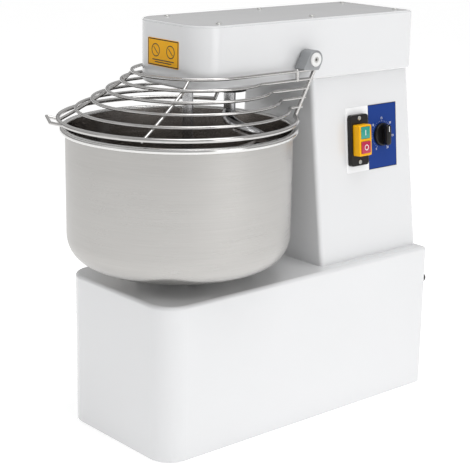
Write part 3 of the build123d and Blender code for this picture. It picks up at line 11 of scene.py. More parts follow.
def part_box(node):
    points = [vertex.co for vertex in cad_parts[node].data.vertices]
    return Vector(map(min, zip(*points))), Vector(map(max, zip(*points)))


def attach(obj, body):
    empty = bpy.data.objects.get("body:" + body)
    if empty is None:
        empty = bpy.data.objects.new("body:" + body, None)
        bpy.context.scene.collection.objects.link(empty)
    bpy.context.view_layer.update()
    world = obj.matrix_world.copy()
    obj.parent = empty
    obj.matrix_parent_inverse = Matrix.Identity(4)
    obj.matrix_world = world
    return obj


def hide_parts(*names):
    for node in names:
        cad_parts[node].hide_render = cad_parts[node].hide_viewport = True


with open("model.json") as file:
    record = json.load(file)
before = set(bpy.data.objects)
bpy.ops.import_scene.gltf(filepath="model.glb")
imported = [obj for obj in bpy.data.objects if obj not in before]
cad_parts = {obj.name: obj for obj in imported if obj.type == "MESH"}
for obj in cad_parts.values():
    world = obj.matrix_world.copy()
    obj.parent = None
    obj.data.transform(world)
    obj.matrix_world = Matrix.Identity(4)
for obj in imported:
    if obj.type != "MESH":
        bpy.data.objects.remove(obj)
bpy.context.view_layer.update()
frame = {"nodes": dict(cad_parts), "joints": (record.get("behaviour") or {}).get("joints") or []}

bl_info = {
    "name": "Spiral dough mixer",
    "version": (1, 0, 0),
    "blender": (4, 5, 0),
    "location": "View3D > Sidebar > Mixer",
    "description": "Builds the visible pieces, finishes and studio of a spiral dough mixer",
    "category": "Add Mesh",
}

MM = 0.001
MERGE = 1e-6  # vertices nearer than this are one
LEVEL = 1e-9  # heights nearer than this are the same
UP = Vector((0, 0, 1))


def middle(node):
    low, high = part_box(node)
    return (low + high) / 2


# ------------------------------------------------------------------ places taken from the frame
bowl_low, bowl_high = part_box("bowl")
bowl_axis = (bowl_low + bowl_high) / 2
bowl_outer = (bowl_high.x - bowl_low.x) / 2
head_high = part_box("head_shell")[1]
label_low, label_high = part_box("front_label")
timer_joint = next(j for j in frame["joints"] if j["name"] == "timer_turn")
timer_travel = radians(300)

# The control panel lies on the sloping side of the column.
panel_slope = atan(28 / 304)  # the column's side leans in 28 mm over 304 mm
panel_width = 119 * MM
panel_height = 107 * MM
white_field_width = 52 * MM
label_thickness = 0.8 * MM
panel_out = Vector((cos(panel_slope), 0, sin(panel_slope)))
panel_up = Vector((-sin(panel_slope), 0, cos(panel_slope)))
panel_middle = middle("control_label") + panel_out * label_thickness / 2
panel_place = Matrix(
    (
        (0, panel_up.x, panel_out.x, panel_middle.x),
        (1, panel_up.y, panel_out.y, panel_middle.y),
        (0, panel_up.z, panel_out.z, panel_middle.z),
        (0, 0, 0, 1),
    )
)


# ------------------------------------------------------------------ shader expressions
class Value:
    """A number on a shader socket, on which Python's operators work."""

    def __init__(self, finish, socket):
        self.finish = finish
        self.socket = socket

    def math(self, operation, *others, clamp=False):
        values = {position: other for position, other in enumerate((self, *others))}
        node = self.finish.add("Math", {"operation": operation, "use_clamp": clamp}, values)
        return Value(self.finish, node.outputs[0])

    def __add__(self, other):
        return self.math("ADD", other)

    __radd__ = __add__

    def __sub__(self, other):
        return self.math("SUBTRACT", other)

    def __rsub__(self, other):
        return self * -1 + other

    def __mul__(self, other):
        return self.math("MULTIPLY", other)

    __rmul__ = __mul__

    def __truediv__(self, other):
        return self.math("DIVIDE", other)

    def __pow__(self, other):
        return self.math("POWER", other)

    def __gt__(self, other):
        return self.math("GREATER_THAN", other)

    def __lt__(self, other):
        return self.math("LESS_THAN", other)

    def __abs__(self):
        return self.math("ABSOLUTE")

    def between(self, low, high):
        """0 below low, 1 above high and a smooth step between them."""
        settings = {"interpolation_type": "SMOOTHSTEP"}
        node = self.finish.add("MapRange", settings, {"Value": self, "From Min": low, "From Max": high})
        return Value(self.finish, node.outputs[0])


class Nodes:
    """A cleared node tree, and the one way in which nodes are added to it."""

    def __init__(self, owner, output, shader, constants, space):
        owner.use_nodes = True
        self.nodes = owner.node_tree.nodes
        self.links = owner.node_tree.links
        self.nodes.clear()
        self.shader = self.add(shader, {}, constants)
        self.links.new(self.shader.outputs[0], self.add(output).inputs["Surface"])
        self.coordinates = self.add("TexCoord").outputs[space]
        parts = self.add("SeparateXYZ", {}, {"Vector": self.coordinates})
        self.x, self.y, self.z = (Value(self, socket) for socket in parts.outputs)

    def add(self, kind, settings=None, values=None):
        """Adds one node: its settings first, then the values or links of its sockets."""
        node = self.nodes.new("ShaderNode" + kind)
        for name, setting in (settings or {}).items():
            setattr(node, name, setting)
        for name, value in (values or {}).items():
            self.feed(self.socket(node, name), value)
        return node

    def socket(self, node, name):
        if isinstance(name, int):
            return node.inputs[name]
        for candidate in node.inputs:
            if candidate.identifier == name:
                return candidate
        return node.inputs[name]

    def feed(self, socket, value):
        if isinstance(value, Value):
            self.links.new(value.socket, socket)
        elif isinstance(value, bpy.types.NodeSocket):
            self.links.new(value, socket)
        else:
            socket.default_value = value

    def vector(self, x, y, z):
        return self.add("CombineXYZ", {}, {0: x, 1: y, 2: z}).outputs[0]

    def noise(self, scale, detail=2.0, place=None, w=None, roughness=0.5):
        values = {"Vector": place or self.coordinates, "Scale": scale, "Detail": detail, "Roughness": roughness}
        if w is not None:
            values["W"] = w
        settings = {"noise_dimensions": "3D" if w is None else "4D"}
        return Value(self, self.add("TexNoise", settings, values).outputs[0])

    def mix(self, factor, first, second):
        """A colour between first, where the factor is 0, and second, where it is 1."""
        values = {"Factor_Float": factor, "A_Color": first, "B_Color": second}
        node = self.add("Mix", {"data_type": "RGBA"}, values)
        return next(socket for socket in node.outputs if socket.identifier == "Result_Color")


class Sky(Nodes):
    """The light that surrounds the studio."""

    def __init__(self, world, strength):
        super().__init__(world, "OutputWorld", "Background", {"Strength": strength}, "Generated")


class Finish(Nodes):
    """A material with one principled shader, and what feeds it."""

    def __init__(self, name, metallic=0.0, **constants):
        self.material = bpy.data.materials.new(name)
        constants = {"Metallic": metallic, **constants}
        super().__init__(self.material, "OutputMaterial", "BsdfPrincipled", constants, "Object")

    def colour(self, value):
        self.feed(self.shader.inputs["Base Color"], value)

    def roughness(self, value):
        self.feed(self.shader.inputs["Roughness"], value)

    def bump(self, height, strength, distance=0.3 * MM):
        node = self.add("Bump", {}, {"Height": height, "Strength": strength, "Distance": distance})
        self.links.new(node.outputs[0], self.shader.inputs["Normal"])


def tint(colour, factor):
    return tuple(min(1.0, part * factor) for part in colour[:3]) + (1.0,)


def enamel(name, colour, roughness=0.24):
    """Stoved enamel on sheet steel: a faint orange peel, and a patchy band, slightly darker and rougher,
    towards the floor.
    """
    finish = Finish(name, **{"Coat Weight": 0.7, "Coat Roughness": 0.06})
    mottle = finish.noise(7.0, 3.0)
    peel = finish.noise(330.0, 1.0)
    fine = finish.noise(1400.0, 1.0)
    # Patchy band in the lowest 5 cm above the floor that makes the paint slightly darker and rougher.
    near_floor = (1 - finish.z.between(0.0, 0.05)) * finish.noise(25.0, 2.0) * 0.12
    mottled_tone = finish.mix(mottle, tint(colour, 0.985), tint(colour, 1.01))
    finish.colour(finish.mix(near_floor, mottled_tone, tint(colour, 0.86)))
    finish.roughness(mottle * 0.08 + (roughness - 0.04) + near_floor * 0.2)
    finish.bump(peel * 0.8 + fine * 0.2, 0.05)
    return finish.material


def coating(name, colour, roughness=0.45, grain=500.0, relief=0.15):
    """Powder coat or machine paint on inner parts."""
    finish = Finish(name)
    speck = finish.noise(grain, 3.0)
    patch = finish.noise(18.0, 3.0)
    finish.colour(finish.mix(patch, tint(colour, 0.85), tint(colour, 1.12)))
    finish.roughness(patch * 0.15 + roughness - 0.07)
    finish.bump(speck, relief)
    return finish.material


def moulded(name, colour, roughness=0.3, grain=1500.0, relief=0.05, coat=0.05, gloss=0.4):
    """Moulded plastic with a fine texture."""
    finish = Finish(name, **{"Coat Weight": coat, "Coat Roughness": 0.15, "Specular IOR Level": gloss})
    speck = finish.noise(grain, 2.0)
    patch = finish.noise(55.0, 2.0)
    finish.colour(finish.mix(patch, tint(colour, 0.92), tint(colour, 1.06)))
    finish.roughness(speck * 0.1 + roughness - 0.05)
    finish.bump(speck, relief)
    return finish.material


def rubber(name, colour):
    finish = Finish(name)
    speck = finish.noise(900.0, 4.0)
    finish.colour(finish.mix(speck, tint(colour, 0.7), tint(colour, 1.5)))
    finish.roughness(speck * 0.2 + 0.6)
    finish.bump(speck, 0.3)
    return finish.material


def polished(name, colour, roughness=0.13, along="z", streak=0.12):
    """Drawn or turned steel with faint streaks along one axis."""
    finish = Finish(name, metallic=1.0)
    reach = {"x": finish.x, "y": finish.y, "z": finish.z}
    stretched = [value * (6.0 if axis == along else 260.0) for axis, value in reach.items()]
    lines = finish.noise(1.0, 3.0, finish.vector(*stretched))
    smudge = finish.noise(24.0, 3.0)
    finish.colour(finish.mix(lines, tint(colour, 0.86), tint(colour, 1.06)))
    finish.roughness(lines * streak + smudge * 0.08 + roughness - 0.06)
    finish.bump(lines, 0.04)
    return finish.material


def turned(name, colour, centre, roughness=0.3, pitch=900.0, grooves=0.08, aniso=0.65):
    """Steel brushed in circles round an upright axis."""
    finish = Finish(name, metallic=1.0, Anisotropic=aniso)
    across = finish.x - centre.x
    back = finish.y - centre.y
    radius = (across * across + back * back) ** 0.5 + 1e-5
    ring = finish.vector(finish.z * pitch, across / radius * 2.2, back / radius * 2.2)
    lines = finish.noise(1.0, 3.0, ring, w=radius * pitch)
    wide_ring = finish.vector(finish.z * 45, across / radius * 1.5, back / radius * 1.5)
    bands = finish.noise(1.0, 2.0, wide_ring, w=radius * 45)
    smudge = finish.noise(11.0, 4.0)
    shade = lines * 0.6 + bands * 0.25 + smudge * 0.15
    finish.colour(finish.mix(shade, tint(colour, 0.82), tint(colour, 1.12)))
    finish.roughness(lines * 0.14 + smudge * 0.1 + roughness - 0.12)
    finish.bump(lines, grooves, 0.15 * MM)
    return finish.material


def cast(name, colour, roughness=0.42):
    """Cast alloy with a bead-blasted skin."""
    finish = Finish(name, metallic=0.75)
    pits = finish.noise(700.0, 5.0)
    flow = finish.noise(45.0, 3.0)
    finish.colour(finish.mix(flow, tint(colour, 0.85), tint(colour, 1.12)))
    finish.roughness(flow * 0.15 + roughness - 0.05)
    finish.bump(pits, 0.22)
    return finish.material


def two_field_label(name, white, blue, edge):
    """Printed film: a white field towards the front and a blue one behind it."""
    finish = Finish(name, **{"Specular IOR Level": 0.2})
    rear = finish.y > edge
    half = panel_height / 2 * cos(panel_slope)
    from_top = half - abs(finish.z - panel_middle.z)
    from_side = (finish.y - edge).math("MINIMUM", panel_middle.y + panel_width / 2 - finish.y)
    outline = rear * (from_top.math("MINIMUM", from_side) < 0.9 * MM)
    speck = finish.noise(900.0, 2.0)
    front_tone = finish.mix(speck, tint(white, 0.97), tint(white, 1.0))
    rear_tone = finish.mix(speck, tint(blue, 0.9), tint(blue, 1.08))
    fields = finish.mix(rear, front_tone, rear_tone)
    finish.colour(finish.mix(outline, fields, (0.012, 0.012, 0.02, 1)))
    finish.roughness(speck * 0.08 + 0.36)
    finish.bump(speck, 0.04)
    return finish.material


def bordered_label(name, field, border, centre, half_width, half_height, band):
    """Printed film with a dark line round its edge."""
    finish = Finish(name, **{"Specular IOR Level": 0.2})
    from_side = half_width - abs(finish.x - centre.x)
    from_top = half_height - abs(finish.z - centre.z)
    edge = from_side.math("MINIMUM", from_top)
    line = (edge > band * 0.5) * (edge < band * 1.5)
    speck = finish.noise(900.0, 2.0)
    tone = finish.mix(speck, tint(field, 0.94), tint(field, 1.04))
    finish.colour(finish.mix(line, tone, tint(border, 1.0)))
    finish.roughness(speck * 0.08 + 0.28)
    finish.bump(speck, 0.03)
    return finish.material


# ------------------------------------------------------------------ mesh helpers
def finished(name, bm, material, body, stands_for=()):
    """Makes a piece of the mesh, with smooth faces and sharp creases, parents it to its body's empty and hides
    the CAD nodes it stands for.
    """
    bmesh.ops.remove_doubles(bm, verts=bm.verts, dist=MERGE)
    bmesh.ops.recalc_face_normals(bm, faces=bm.faces)
    for face in bm.faces:
        face.smooth = True
    for edge in bm.edges:
        edge.smooth = len(edge.link_faces) == 2 and edge.calc_face_angle(0) < radians(32)
    mesh = bpy.data.meshes.new(name)
    bm.to_mesh(mesh)
    bm.free()
    for finish in material if isinstance(material, list) else [material]:
        mesh.materials.append(finish)
    piece = bpy.data.objects.new(name, mesh)
    bpy.context.scene.collection.objects.link(piece)
    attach(piece, body)
    if stands_for:
        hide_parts(*stands_for)
    return piece


def corner_edge(edge):
    """Whether an edge between two faces is a corner rather than a facet's joint."""
    return len(edge.link_faces) == 2 and edge.calc_face_angle(0) > radians(60)


def rounded(bm, chosen, offset, segments=3, affect="EDGES"):
    return bmesh.ops.bevel(
        bm,
        geom=chosen,
        offset=offset,
        offset_type="OFFSET",
        segments=segments,
        profile=0.5,
        affect=affect,
        clamp_overlap=True,
        material=-1,
    )


def block(bm, size, place, corner=0.0, edge=0.0, corner_segments=6):
    """A block with rounded upright corners and a softened top, standing on the place's plane."""
    made = bmesh.ops.create_cube(bm, size=1.0)["verts"]
    bmesh.ops.scale(bm, vec=size, verts=made)
    bmesh.ops.translate(bm, vec=(0, 0, size[2] / 2), verts=made)
    faces = {face for vert in made for face in vert.link_faces}
    if corner:
        edges = {edge for face in faces for edge in face.edges}
        upright = [e for e in edges if abs(e.verts[0].co.z - e.verts[1].co.z) > LEVEL]
        result = rounded(bm, upright, corner, corner_segments)
        made = list({v for v in made if v.is_valid} | set(result["verts"]))
        faces = {face for vert in made for face in vert.link_faces}
    if edge:
        top = max(v.co.z for v in made)
        edges = {edge for face in faces for edge in face.edges}
        rim = [e for e in edges if all(abs(v.co.z - top) < LEVEL for v in e.verts) and corner_edge(e)]
        result = rounded(bm, rim, edge, 3)
        made = list({v for v in made if v.is_valid} | set(result["verts"]))
    made = grown(made)
    bmesh.ops.transform(bm, matrix=place, verts=made)
    return made


def grown(verts):
    """All the vertices joined to these by edges."""
    found = set(verts)
    waiting = list(found)
    while waiting:
        vert = waiting.pop()
        for edge in vert.link_edges:
            other = edge.other_vert(vert)
            if other not in found:
                found.add(other)
                waiting.append(other)
    return list(found)


def spun(bm, outline, place, roundings=(), steps=64):
    """Spins an outline of (radius, height) points round the place's axis; roundings are (point, radius)."""
    verts = [bm.verts.new((radius, 0, height)) for radius, height in outline]
    edges = [bm.edges.new(pair) for pair in zip(verts, verts[1:])]
    keep = set(verts)
    for index, radius, segments in roundings:
        result = rounded(bm, [verts[index]], radius, segments, "VERTICES")
        keep |= set(result["verts"])
    keep = grown([v for v in keep if v.is_valid])
    wires = list({e for v in keep for e in v.link_edges})
    bmesh.ops.spin(
        bm,
        geom=keep + wires,
        cent=(0, 0, 0),
        axis=UP,
        angle=tau,
        steps=steps,
        use_merge=True,
        use_duplicate=False,
    )
    made = grown(keep)
    bmesh.ops.transform(bm, matrix=place, verts=made)
    return made


def washer(inner, outer, depth):
    """The closed outline of a flat ring."""
    return [(inner, 0), (outer, 0), (outer, depth), (inner, depth), (inner, 0)]


def lettering(text, size, depth, place):
    """A mesh of generic characters, standing depth proud of the place's plane."""
    curve = bpy.data.curves.new("numeral", "FONT")
    curve.body = text
    curve.size = size
    curve.extrude = depth / 2
    curve.align_x = "CENTER"
    curve.align_y = "CENTER"
    holder = bpy.data.objects.new("numeral", curve)
    mesh = bpy.data.meshes.new_from_object(holder)
    mesh.transform(place @ Matrix.Translation((0, 0, depth / 2)))
    bpy.data.objects.remove(holder)
    bpy.data.curves.remove(curve)
    return mesh


def panel(u, w, out=0.0, turn=0.0):
    """A place on the control panel: u towards the back, w up the slope, out from its face, in millimetres."""
    return panel_place @ Matrix.Translation((u * MM, w * MM, out * MM)) @ Matrix.Rotation(turn, 4, "Z")


# ------------------------------------------------------------------ sizes and colours a user would change
class MixerSizes(bpy.types.PropertyGroup):
    """Sizes of the detailed pieces."""

    bowl_corner: FloatProperty(
        name="Bowl corner", description="Radius between the bowl's wall and floor", default=0.046, unit="LENGTH"
    )
    bowl_sheet: FloatProperty(
        name="Bowl sheet", description="Thickness of the bowl's sheet", default=0.0015, unit="LENGTH"
    )
    rim_bead: FloatProperty(
        name="Rim bead", description="Height of the rolled rim", default=0.0092, unit="LENGTH"
    )
    bowl_steps: IntProperty(name="Bowl steps", description="Facets round the bowl", default=160, min=32)
    dial_radius: FloatProperty(
        name="Dial radius", description="Radius of the dial's numbers", default=0.0265, unit="LENGTH"
    )
    numeral_height: FloatProperty(
        name="Numeral height", description="Height of the dial's numbers", default=0.0052, unit="LENGTH"
    )
    lever_edge: FloatProperty(
        name="Lever edge", description="Rounding of the cast levers", default=0.0012, unit="LENGTH"
    )


class MixerColours(bpy.types.PropertyGroup):
    """Colours of the finishes."""

    enamel: FloatVectorProperty(
        name="Enamel", description="Casing paint", subtype="COLOR", default=(0.785, 0.79, 0.80)
    )
    bowl_steel: FloatVectorProperty(
        name="Bowl steel", description="Brushed bowl", subtype="COLOR", default=(0.485, 0.475, 0.46)
    )
    wire_steel: FloatVectorProperty(
        name="Wire steel", description="Polished guard wires", subtype="COLOR", default=(0.58, 0.57, 0.56)
    )
    amber: FloatVectorProperty(
        name="Amber", description="Front label and switch housing", subtype="COLOR", default=(1.0, 0.48, 0.002)
    )
    blue: FloatVectorProperty(
        name="Blue",
        description="Rear field of the control label",
        subtype="COLOR",
        default=(0.006, 0.042, 0.25),
    )
    green: FloatVectorProperty(
        name="Green", description="Start button", subtype="COLOR", default=(0.03, 0.33, 0.26)
    )
    red: FloatVectorProperty(name="Red", description="Stop button", subtype="COLOR", default=(0.50, 0.02, 0.07))


class MixerStudio(bpy.types.PropertyGroup):
    """Light and camera."""

    sky: FloatProperty(name="Sky", description="Brightness of the surrounding light", default=0.50, min=0)
    key: FloatProperty(name="Key light", description="Softbox on the right", default=9, min=0, unit="POWER")
    fill: FloatProperty(name="Fill light", description="Softbox in front", default=1, min=0, unit="POWER")
    top: FloatProperty(name="Top light", description="Softbox above", default=17, min=0, unit="POWER")
    glow: FloatProperty(name="Floor glow", description="Light of the pale sweep itself", default=0.46, min=0)
    lens: FloatProperty(name="Lens", description="Focal length", default=103.5, unit="CAMERA")
    azimuth: FloatProperty(
        name="Azimuth", description="The camera's turn round the mixer", default=radians(48.97), unit="ROTATION"
    )
    elevation: FloatProperty(
        name="Elevation", description="The camera's downward tilt", default=radians(15.50), unit="ROTATION"
    )
    roll: FloatProperty(
        name="Roll", description="The camera's turn about its own axis", default=radians(1.02), unit="ROTATION"
    )
    viewpoint: FloatVectorProperty(
        name="Viewpoint",
        description="Where the camera stands",
        subtype="TRANSLATION",
        default=(1.6032, -1.41175, 0.8844),
    )


class MixerStep:
    """What every step of the build shares."""

    bl_options = {"REGISTER", "UNDO"}

    @property
    def sizes(self):
        return bpy.context.scene.mixer_sizes

    @property
    def colours(self):
        return bpy.context.scene.mixer_colours


# ------------------------------------------------------------------ pieces
class MIXER_OT_bowl(MixerStep, bpy.types.Operator):
    """Spins the bowl, with its rolled rim, from one outline"""

    bl_idname = "mixer.bowl"
    bl_label = "Bowl"

    def execute(self, context):
        sizes = self.sizes
        bead = sizes.rim_bead
        top = bowl_high.z
        floor = bowl_low.z
        wall = bowl_outer - bead + 1.0 * MM
        inner = wall - sizes.bowl_sheet
        outline = [
            (0, floor),
            (wall, floor),
            (wall, top - bead),
            (bowl_outer, top - bead),
            (bowl_outer, top),
            (inner, top),
            (inner, floor + sizes.bowl_sheet),
            (0, floor + sizes.bowl_sheet),
        ]
        roundings = [
            (1, sizes.bowl_corner, 14),
            (3, bead * 0.47, 5),
            (4, bead * 0.47, 5),
            (5, bead * 0.40, 5),
            (6, sizes.bowl_corner - sizes.bowl_sheet, 14),
        ]
        bm = bmesh.new()
        place = Matrix.Translation((bowl_axis.x, bowl_axis.y, 0))
        spun(bm, outline, place, roundings, sizes.bowl_steps)
        bmesh.ops.remove_doubles(bm, verts=bm.verts, dist=MERGE)
        bmesh.ops.recalc_face_normals(bm, faces=bm.faces)
        mouth = Vector((bowl_axis.x, bowl_axis.y, top))
        for face in bm.faces:
            spot = face.calc_center_median()
            if spot.z > top - bead:
                face.material_index = 1
            elif face.normal.dot(mouth - spot) > 0:
                face.material_index = 2
        steels = [
            turned("bowl steel", self.colours.bowl_steel, bowl_axis),
            turned("bowl rim steel", (0.74, 0.735, 0.725), bowl_axis, 0.17, 500.0, 0.03, 0.3),
            turned("bowl inside steel", (0.50, 0.475, 0.455), bowl_axis, 0.20, 700.0, 0.04, 0.4),
        ]
        finished("mixing_bowl", bm, steels, "bowl_set", ["bowl"])
        return {"FINISHED"}


class MIXER_OT_levers(MixerStep, bpy.types.Operator):
    """Rounds the outer edges of the two cast guard levers"""

    bl_idname = "mixer.levers"
    bl_label = "Guard levers"

    def execute(self, context):
        bm = bmesh.new()
        bm.from_mesh(frame["nodes"]["guard_levers"].data)
        bmesh.ops.remove_doubles(bm, verts=bm.verts, dist=MERGE)
        bmesh.ops.dissolve_limit(bm, angle_limit=radians(0.5), verts=bm.verts, edges=bm.edges)
        hinge = middle("lever_caps")
        boundary = 13.0 * MM
        clear_of_head = head_high.x + 2 * MM

        def outside(vert):
            from_hinge = Vector((vert.co.y - hinge.y, vert.co.z - hinge.z)).length
            return from_hinge > boundary and abs(vert.co.x) > clear_of_head

        outer = [edge for edge in bm.edges if corner_edge(edge) and all(outside(v) for v in edge.verts)]
        rounded(bm, outer, self.sizes.lever_edge, 3)
        alloy = cast("lever casting", (0.36, 0.37, 0.38))
        finished("lever_castings", bm, alloy, "guard_set", ["guard_levers"])
        return {"FINISHED"}


class MIXER_OT_timer(MixerStep, bpy.types.Operator):
    """Builds the timer's knob, its pointer and the dial printed round it"""

    bl_idname = "mixer.timer"
    bl_label = "Timer"

    def execute(self, context):
        sizes = self.sizes
        local = panel_place.inverted() @ Vector(timer_joint["pos_m"])
        u, w = local.x / MM, local.y / MM
        radius = 19.5 * MM
        black = moulded("knob black", (0.006, 0.006, 0.007), 0.24, 1200.0, gloss=0.3)
        bm = bmesh.new()
        skirt = [(0, 0.8 * MM), (radius, 0.8 * MM), (radius - 0.8 * MM, 5.5 * MM), (0, 5.5 * MM)]
        spun(bm, skirt, panel(u, w), [(2, 1.2 * MM, 4)], 72)
        block(bm, (radius * 1.76, 11 * MM, 17.2 * MM), panel(u, w, 0.6, pi / 2), 5.2 * MM, 2.2 * MM, 8)
        finished("knob_body", bm, black, "timer_set", ["timer_knob"])
        white = moulded("marking white", (0.85, 0.85, 0.84), 0.4)
        bm = bmesh.new()
        block(bm, (1.6 * MM, 9 * MM, 0.25 * MM), panel(u, w + 9.5, 17.75), 0.5 * MM)
        finished("knob_pointer", bm, white, "timer_set")
        bm = bmesh.new()
        span = timer_travel
        for step in range(31):
            angle = span / 2 - span * step / 30
            long = 2.6 if step % 5 == 0 else 1.4
            turn = panel(u, w, 0.0, angle)
            reach = 21.4 * MM + long * MM / 2
            block(bm, (0.35 * MM, long * MM, 0.12 * MM), turn @ Matrix.Translation((0, reach, 0)))
        for step in range(0, 31, 5):
            angle = span / 2 - span * step / 30
            spot = panel(u, w, 0.0, angle) @ Matrix.Translation((0, sizes.dial_radius + 0.4 * MM, 0))
            upright = spot @ Matrix.Rotation(-angle, 4, "Z")
            bm.from_mesh(lettering(str(step), sizes.numeral_height, 0.12 * MM, upright))
        finished("dial_marks", bm, white, "machine")
        return {"FINISHED"}


class MIXER_OT_buttons(MixerStep, bpy.types.Operator):
    """Builds the start and stop buttons with their symbols"""

    bl_idname = "mixer.buttons"
    bl_label = "Buttons"

    def execute(self, context):
        inverse = panel_place.inverted()
        for name, colour, body, slot in (
            ("start", self.colours.green, "start_button_set", "green_plastic"),
            ("stop", self.colours.red, "stop_button_set", "red_plastic"),
        ):
            node = frame["nodes"][f"{name}_button"]
            corners = [inverse @ vert.co for vert in node.data.vertices]
            low = [min(c[i] for c in corners) for i in range(3)]
            high = [max(c[i] for c in corners) for i in range(3)]
            u, w = (low[0] + high[0]) / 2 / MM, (low[1] + high[1]) / 2 / MM
            width, height, depth = (high[i] - low[i] for i in range(3))
            bm = bmesh.new()
            block(bm, (width, height, depth), panel(u, w, low[2] / MM), 1.6 * MM, 1.1 * MM, 5)
            glossy = moulded(f"{name} plastic", colour, 0.22, 1500.0, 0.02, 0.5)
            finished(f"{name}_cap", bm, glossy, body, [f"{name}_button"])
            bm = bmesh.new()
            face = high[2] / MM - 0.05
            if name == "start":
                block(bm, (1.3 * MM, 8.5 * MM, 0.12 * MM), panel(u, w, face))
            else:
                spun(bm, washer(3.4 * MM, 4.6 * MM, 0.12 * MM), panel(u, w, face), (), 40)
            ink = moulded(f"{name} symbol", (0.9, 0.9, 0.88), 0.4)
            finished(f"{name}_symbol", bm, ink, body)
        return {"FINISHED"}


class MIXER_OT_front_label(MixerStep, bpy.types.Operator):
    """Draws plain marks on the label at the front of the head"""

    bl_idname = "mixer.front_label"
    bl_label = "Front label"

    def execute(self, context):
        centre = (label_low + label_high) / 2
        half_width = (label_high.x - label_low.x) / 2
        half_height = (label_high.z - label_low.z) / 2
        ink = (0.02, 0.018, 0.015)
        film = bordered_label(
            "amber film", self.colours.amber, ink, centre, half_width, half_height, 1.6 * MM
        )
        dress("front_label", film)
        front = Matrix(((1, 0, 0, centre.x), (0, 0, -1, label_low.y), (0, 1, 0, centre.z), (0, 0, 0, 1)))
        bm = bmesh.new()
        depth = 0.1 * MM
        for side in (-1, 1):
            spot = front @ Matrix.Translation((side * 18 * MM, 3 * MM, 0))
            spun(bm, washer(8.6 * MM, 10 * MM, depth), spot, (), 48)
            block(bm, (1.4 * MM, 14 * MM, depth), spot @ Matrix.Rotation(radians(45), 4, "Z"))
        for row, length in enumerate((52, 40)):
            below = (-11.5 - 3.4 * row) * MM
            block(bm, (length * MM, 1.5 * MM, depth), front @ Matrix.Translation((0, below, 0)))
        finished("label_marks", bm, moulded("label ink", ink, 0.5), "machine")
        return {"FINISHED"}


def dress(names, material):
    """Gives CAD nodes a procedural finish in place of their plain one."""
    for name in [names] if isinstance(names, str) else names:
        node = frame["nodes"][name]
        if not node.material_slots:
            node.data.materials.append(material)
        for socket in node.material_slots:
            socket.material = material


class MIXER_OT_finishes(MixerStep, bpy.types.Operator):
    """Gives every carried-over node its procedural finish"""

    bl_idname = "mixer.finishes"
    bl_label = "Finishes"

    def execute(self, context):
        colours = self.colours
        casing = enamel("casing enamel", colours.enamel)
        wire = polished("guard wire", colours.wire_steel, 0.09, "x", 0.1)
        rod = polished("polished rod", (0.62, 0.62, 0.63), 0.12)
        shaft = polished("ground shaft", (0.5, 0.5, 0.5), 0.22)
        zinc = cast("zinc plate", (0.62, 0.62, 0.60), 0.3)
        grey_cast = cast("grey casting", (0.30, 0.30, 0.30), 0.5)
        bearing = polished("bearing steel", (0.55, 0.55, 0.55), 0.18)
        chain = polished("chain steel", (0.22, 0.21, 0.20), 0.35)
        frame_coat = coating("black coat", (0.022, 0.022, 0.024))
        motor_coat = coating("motor paint", (0.10, 0.14, 0.20), 0.35)
        brass = polished("gear bronze", (0.58, 0.36, 0.14), 0.28)
        black = moulded("black plastic", (0.012, 0.010, 0.010), 0.3, gloss=0.25)
        grey = moulded("grey plastic", (0.28, 0.29, 0.30), 0.45)
        white = moulded("white plastic", (0.83, 0.83, 0.82), 0.25)
        amber = moulded("housing plastic", colours.amber, 0.35, gloss=0.2)
        feet = rubber("foot rubber", (0.02, 0.02, 0.02))
        field_edge = panel_middle.y + white_field_width - panel_width / 2
        label = two_field_label("control film", (0.97, 0.97, 0.975), colours.blue, field_edge)
        table = {
            casing: "base_shell column_shell head_shell head_cover base_rear_panel column_rear_cover",
            wire: "guard_cage",
            rod: "spiral_tool breaker_bar",
            shaft: "tall_shaft bowl_spindle motor_rotor bowl_hub guard_cam",
            zinc: "cover_screws head_cover_screws bowl_screws foot_bolts breaker_nut hinge_pins",
            grey_cast: "gearbox_housing gearbox_lid bowl_bearing_housing spiral_housing shaft_top_housing",
            bearing: "small_bearings worm_bearings bowl_bearings",
            chain: "upper_chain lower_chain upper_drive_sprocket lower_drive_sprocket "
            "spiral_sprocket bowl_sprocket",
            frame_coat: "chassis mast_frame head_arm",
            motor_coat: "motor_casing fan_cowl",
            brass: "worm_wheel",
            black: "cable_gland switch_box terminal_box hinge_bushes",
            grey: "motor_fan guard_switch switch_block timer_body",
            white: "lever_caps",
            amber: "switch_housing",
            feet: "rubber_feet spiral_seal bowl_spindle_seal",
            label: "control_label",
        }
        for material, names in table.items():
            dress(names.split(), material)
        return {"FINISHED"}


# ------------------------------------------------------------------ studio
def softbox(name, power, size, spot, target, tone=(1, 1, 1)):
    lamp = bpy.data.lights.new(name, "AREA")
    lamp.energy = power
    lamp.color = tone
    lamp.shape = "RECTANGLE"
    lamp.size, lamp.size_y = size
    holder = bpy.data.objects.new(name, lamp)
    holder.location = spot
    holder.rotation_euler = (Vector(target) - Vector(spot)).to_track_quat("-Z", "Y").to_euler()
    bpy.context.scene.collection.objects.link(holder)


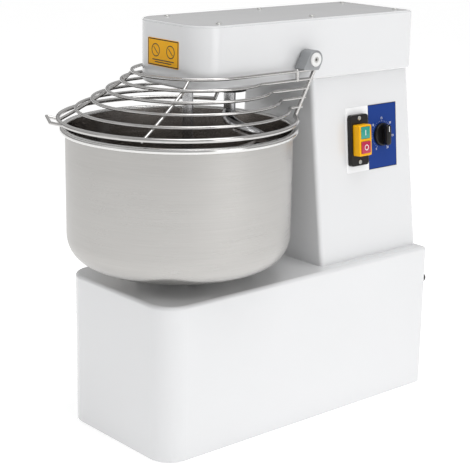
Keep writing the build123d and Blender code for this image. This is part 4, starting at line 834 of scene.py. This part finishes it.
class MIXER_OT_stage(MixerStep, bpy.types.Operator):
    """Lays the floor, and sets the lights and the camera"""

    bl_idname = "mixer.stage"
    bl_label = "Studio"

    def execute(self, context):
        studio = context.scene.mixer_studio
        bm = bmesh.new()
        bmesh.ops.create_grid(bm, x_segments=1, y_segments=1, size=12.0)
        mesh = bpy.data.meshes.new("studio_floor")
        bm.to_mesh(mesh)
        bm.free()
        pale = Finish("studio floor", **{"Roughness": 0.7, "Emission Color": (1, 1, 1, 1)})
        pale.shader.inputs["Emission Strength"].default_value = studio.glow
        pale.colour(pale.mix(pale.noise(3.0), (0.93, 0.93, 0.93, 1), (0.95, 0.95, 0.95, 1)))
        mesh.materials.append(pale.material)
        floor = bpy.data.objects.new("studio_floor", mesh)
        context.scene.collection.objects.link(floor)
        world = bpy.data.worlds.new("studio")
        sky = Sky(world, studio.sky)
        height = sky.z.between(-0.05, 0.30)
        sky.feed(sky.shader.inputs["Color"], sky.mix(height, (0.30, 0.29, 0.28, 1), (1.15, 1.15, 1.15, 1)))
        context.scene.world = world
        waist = (0, 0, 0.40)
        softbox("key softbox", studio.key, (1.2, 1.6), (2.3, 0.2, 1.0), waist)
        softbox("fill softbox", studio.fill, (0.9, 1.4), (-0.5, -2.4, 1.1), waist)
        softbox("top softbox", studio.top, (1.4, 1.4), (0.5, 0.0, 2.4), waist)
        yaw, pitch, roll = studio.azimuth, studio.elevation, studio.roll
        back = Vector((sin(yaw) * cos(pitch), -cos(yaw) * cos(pitch), sin(pitch)))
        level = Vector((cos(yaw), sin(yaw), 0))
        lift = back.cross(level)
        right = cos(roll) * level + sin(roll) * lift
        up = -sin(roll) * level + cos(roll) * lift
        lens = bpy.data.cameras.new("camera")
        lens.lens = studio.lens
        lens.sensor_width = 36
        lens.clip_start = 0.05
        camera = bpy.data.objects.new("camera", lens)
        turn = Matrix((right, up, back)).transposed().to_4x4()
        camera.matrix_world = Matrix.Translation(studio.viewpoint) @ turn
        context.scene.collection.objects.link(camera)
        context.scene.camera = camera
        context.scene.view_settings.view_transform = "Standard"
        context.scene.view_settings.look = "None"
        return {"FINISHED"}


class MIXER_PT_steps(bpy.types.Panel):
    """Lists the sizes, the colours and the steps of the build"""

    bl_label = "Spiral dough mixer"
    bl_idname = "MIXER_PT_steps"
    bl_space_type = "VIEW_3D"
    bl_region_type = "UI"
    bl_category = "Mixer"

    def draw(self, context):
        for group in (context.scene.mixer_sizes, context.scene.mixer_colours, context.scene.mixer_studio):
            column = self.layout.column()
            for name in group.__annotations__:
                column.prop(group, name)
        for step in STEPS:
            self.layout.operator(step.bl_idname)


GROUPS = {"mixer_sizes": MixerSizes, "mixer_colours": MixerColours, "mixer_studio": MixerStudio}
STEPS = (
    MIXER_OT_finishes,
    MIXER_OT_bowl,
    MIXER_OT_levers,
    MIXER_OT_timer,
    MIXER_OT_buttons,
    MIXER_OT_front_label,
    MIXER_OT_stage,
)


def register():
    for group in (*GROUPS.values(), *STEPS, MIXER_PT_steps):
        bpy.utils.register_class(group)
    for name, group in GROUPS.items():
        setattr(bpy.types.Scene, name, PointerProperty(type=group))


def unregister():
    for name in GROUPS:
        delattr(bpy.types.Scene, name)
    for group in reversed((*GROUPS.values(), *STEPS, MIXER_PT_steps)):
        bpy.utils.unregister_class(group)


def main():
    register()
    for step in STEPS:
        family, name = step.bl_idname.split(".")
        getattr(getattr(bpy.ops, family), name)()


if __name__ == "__main__":
    main()
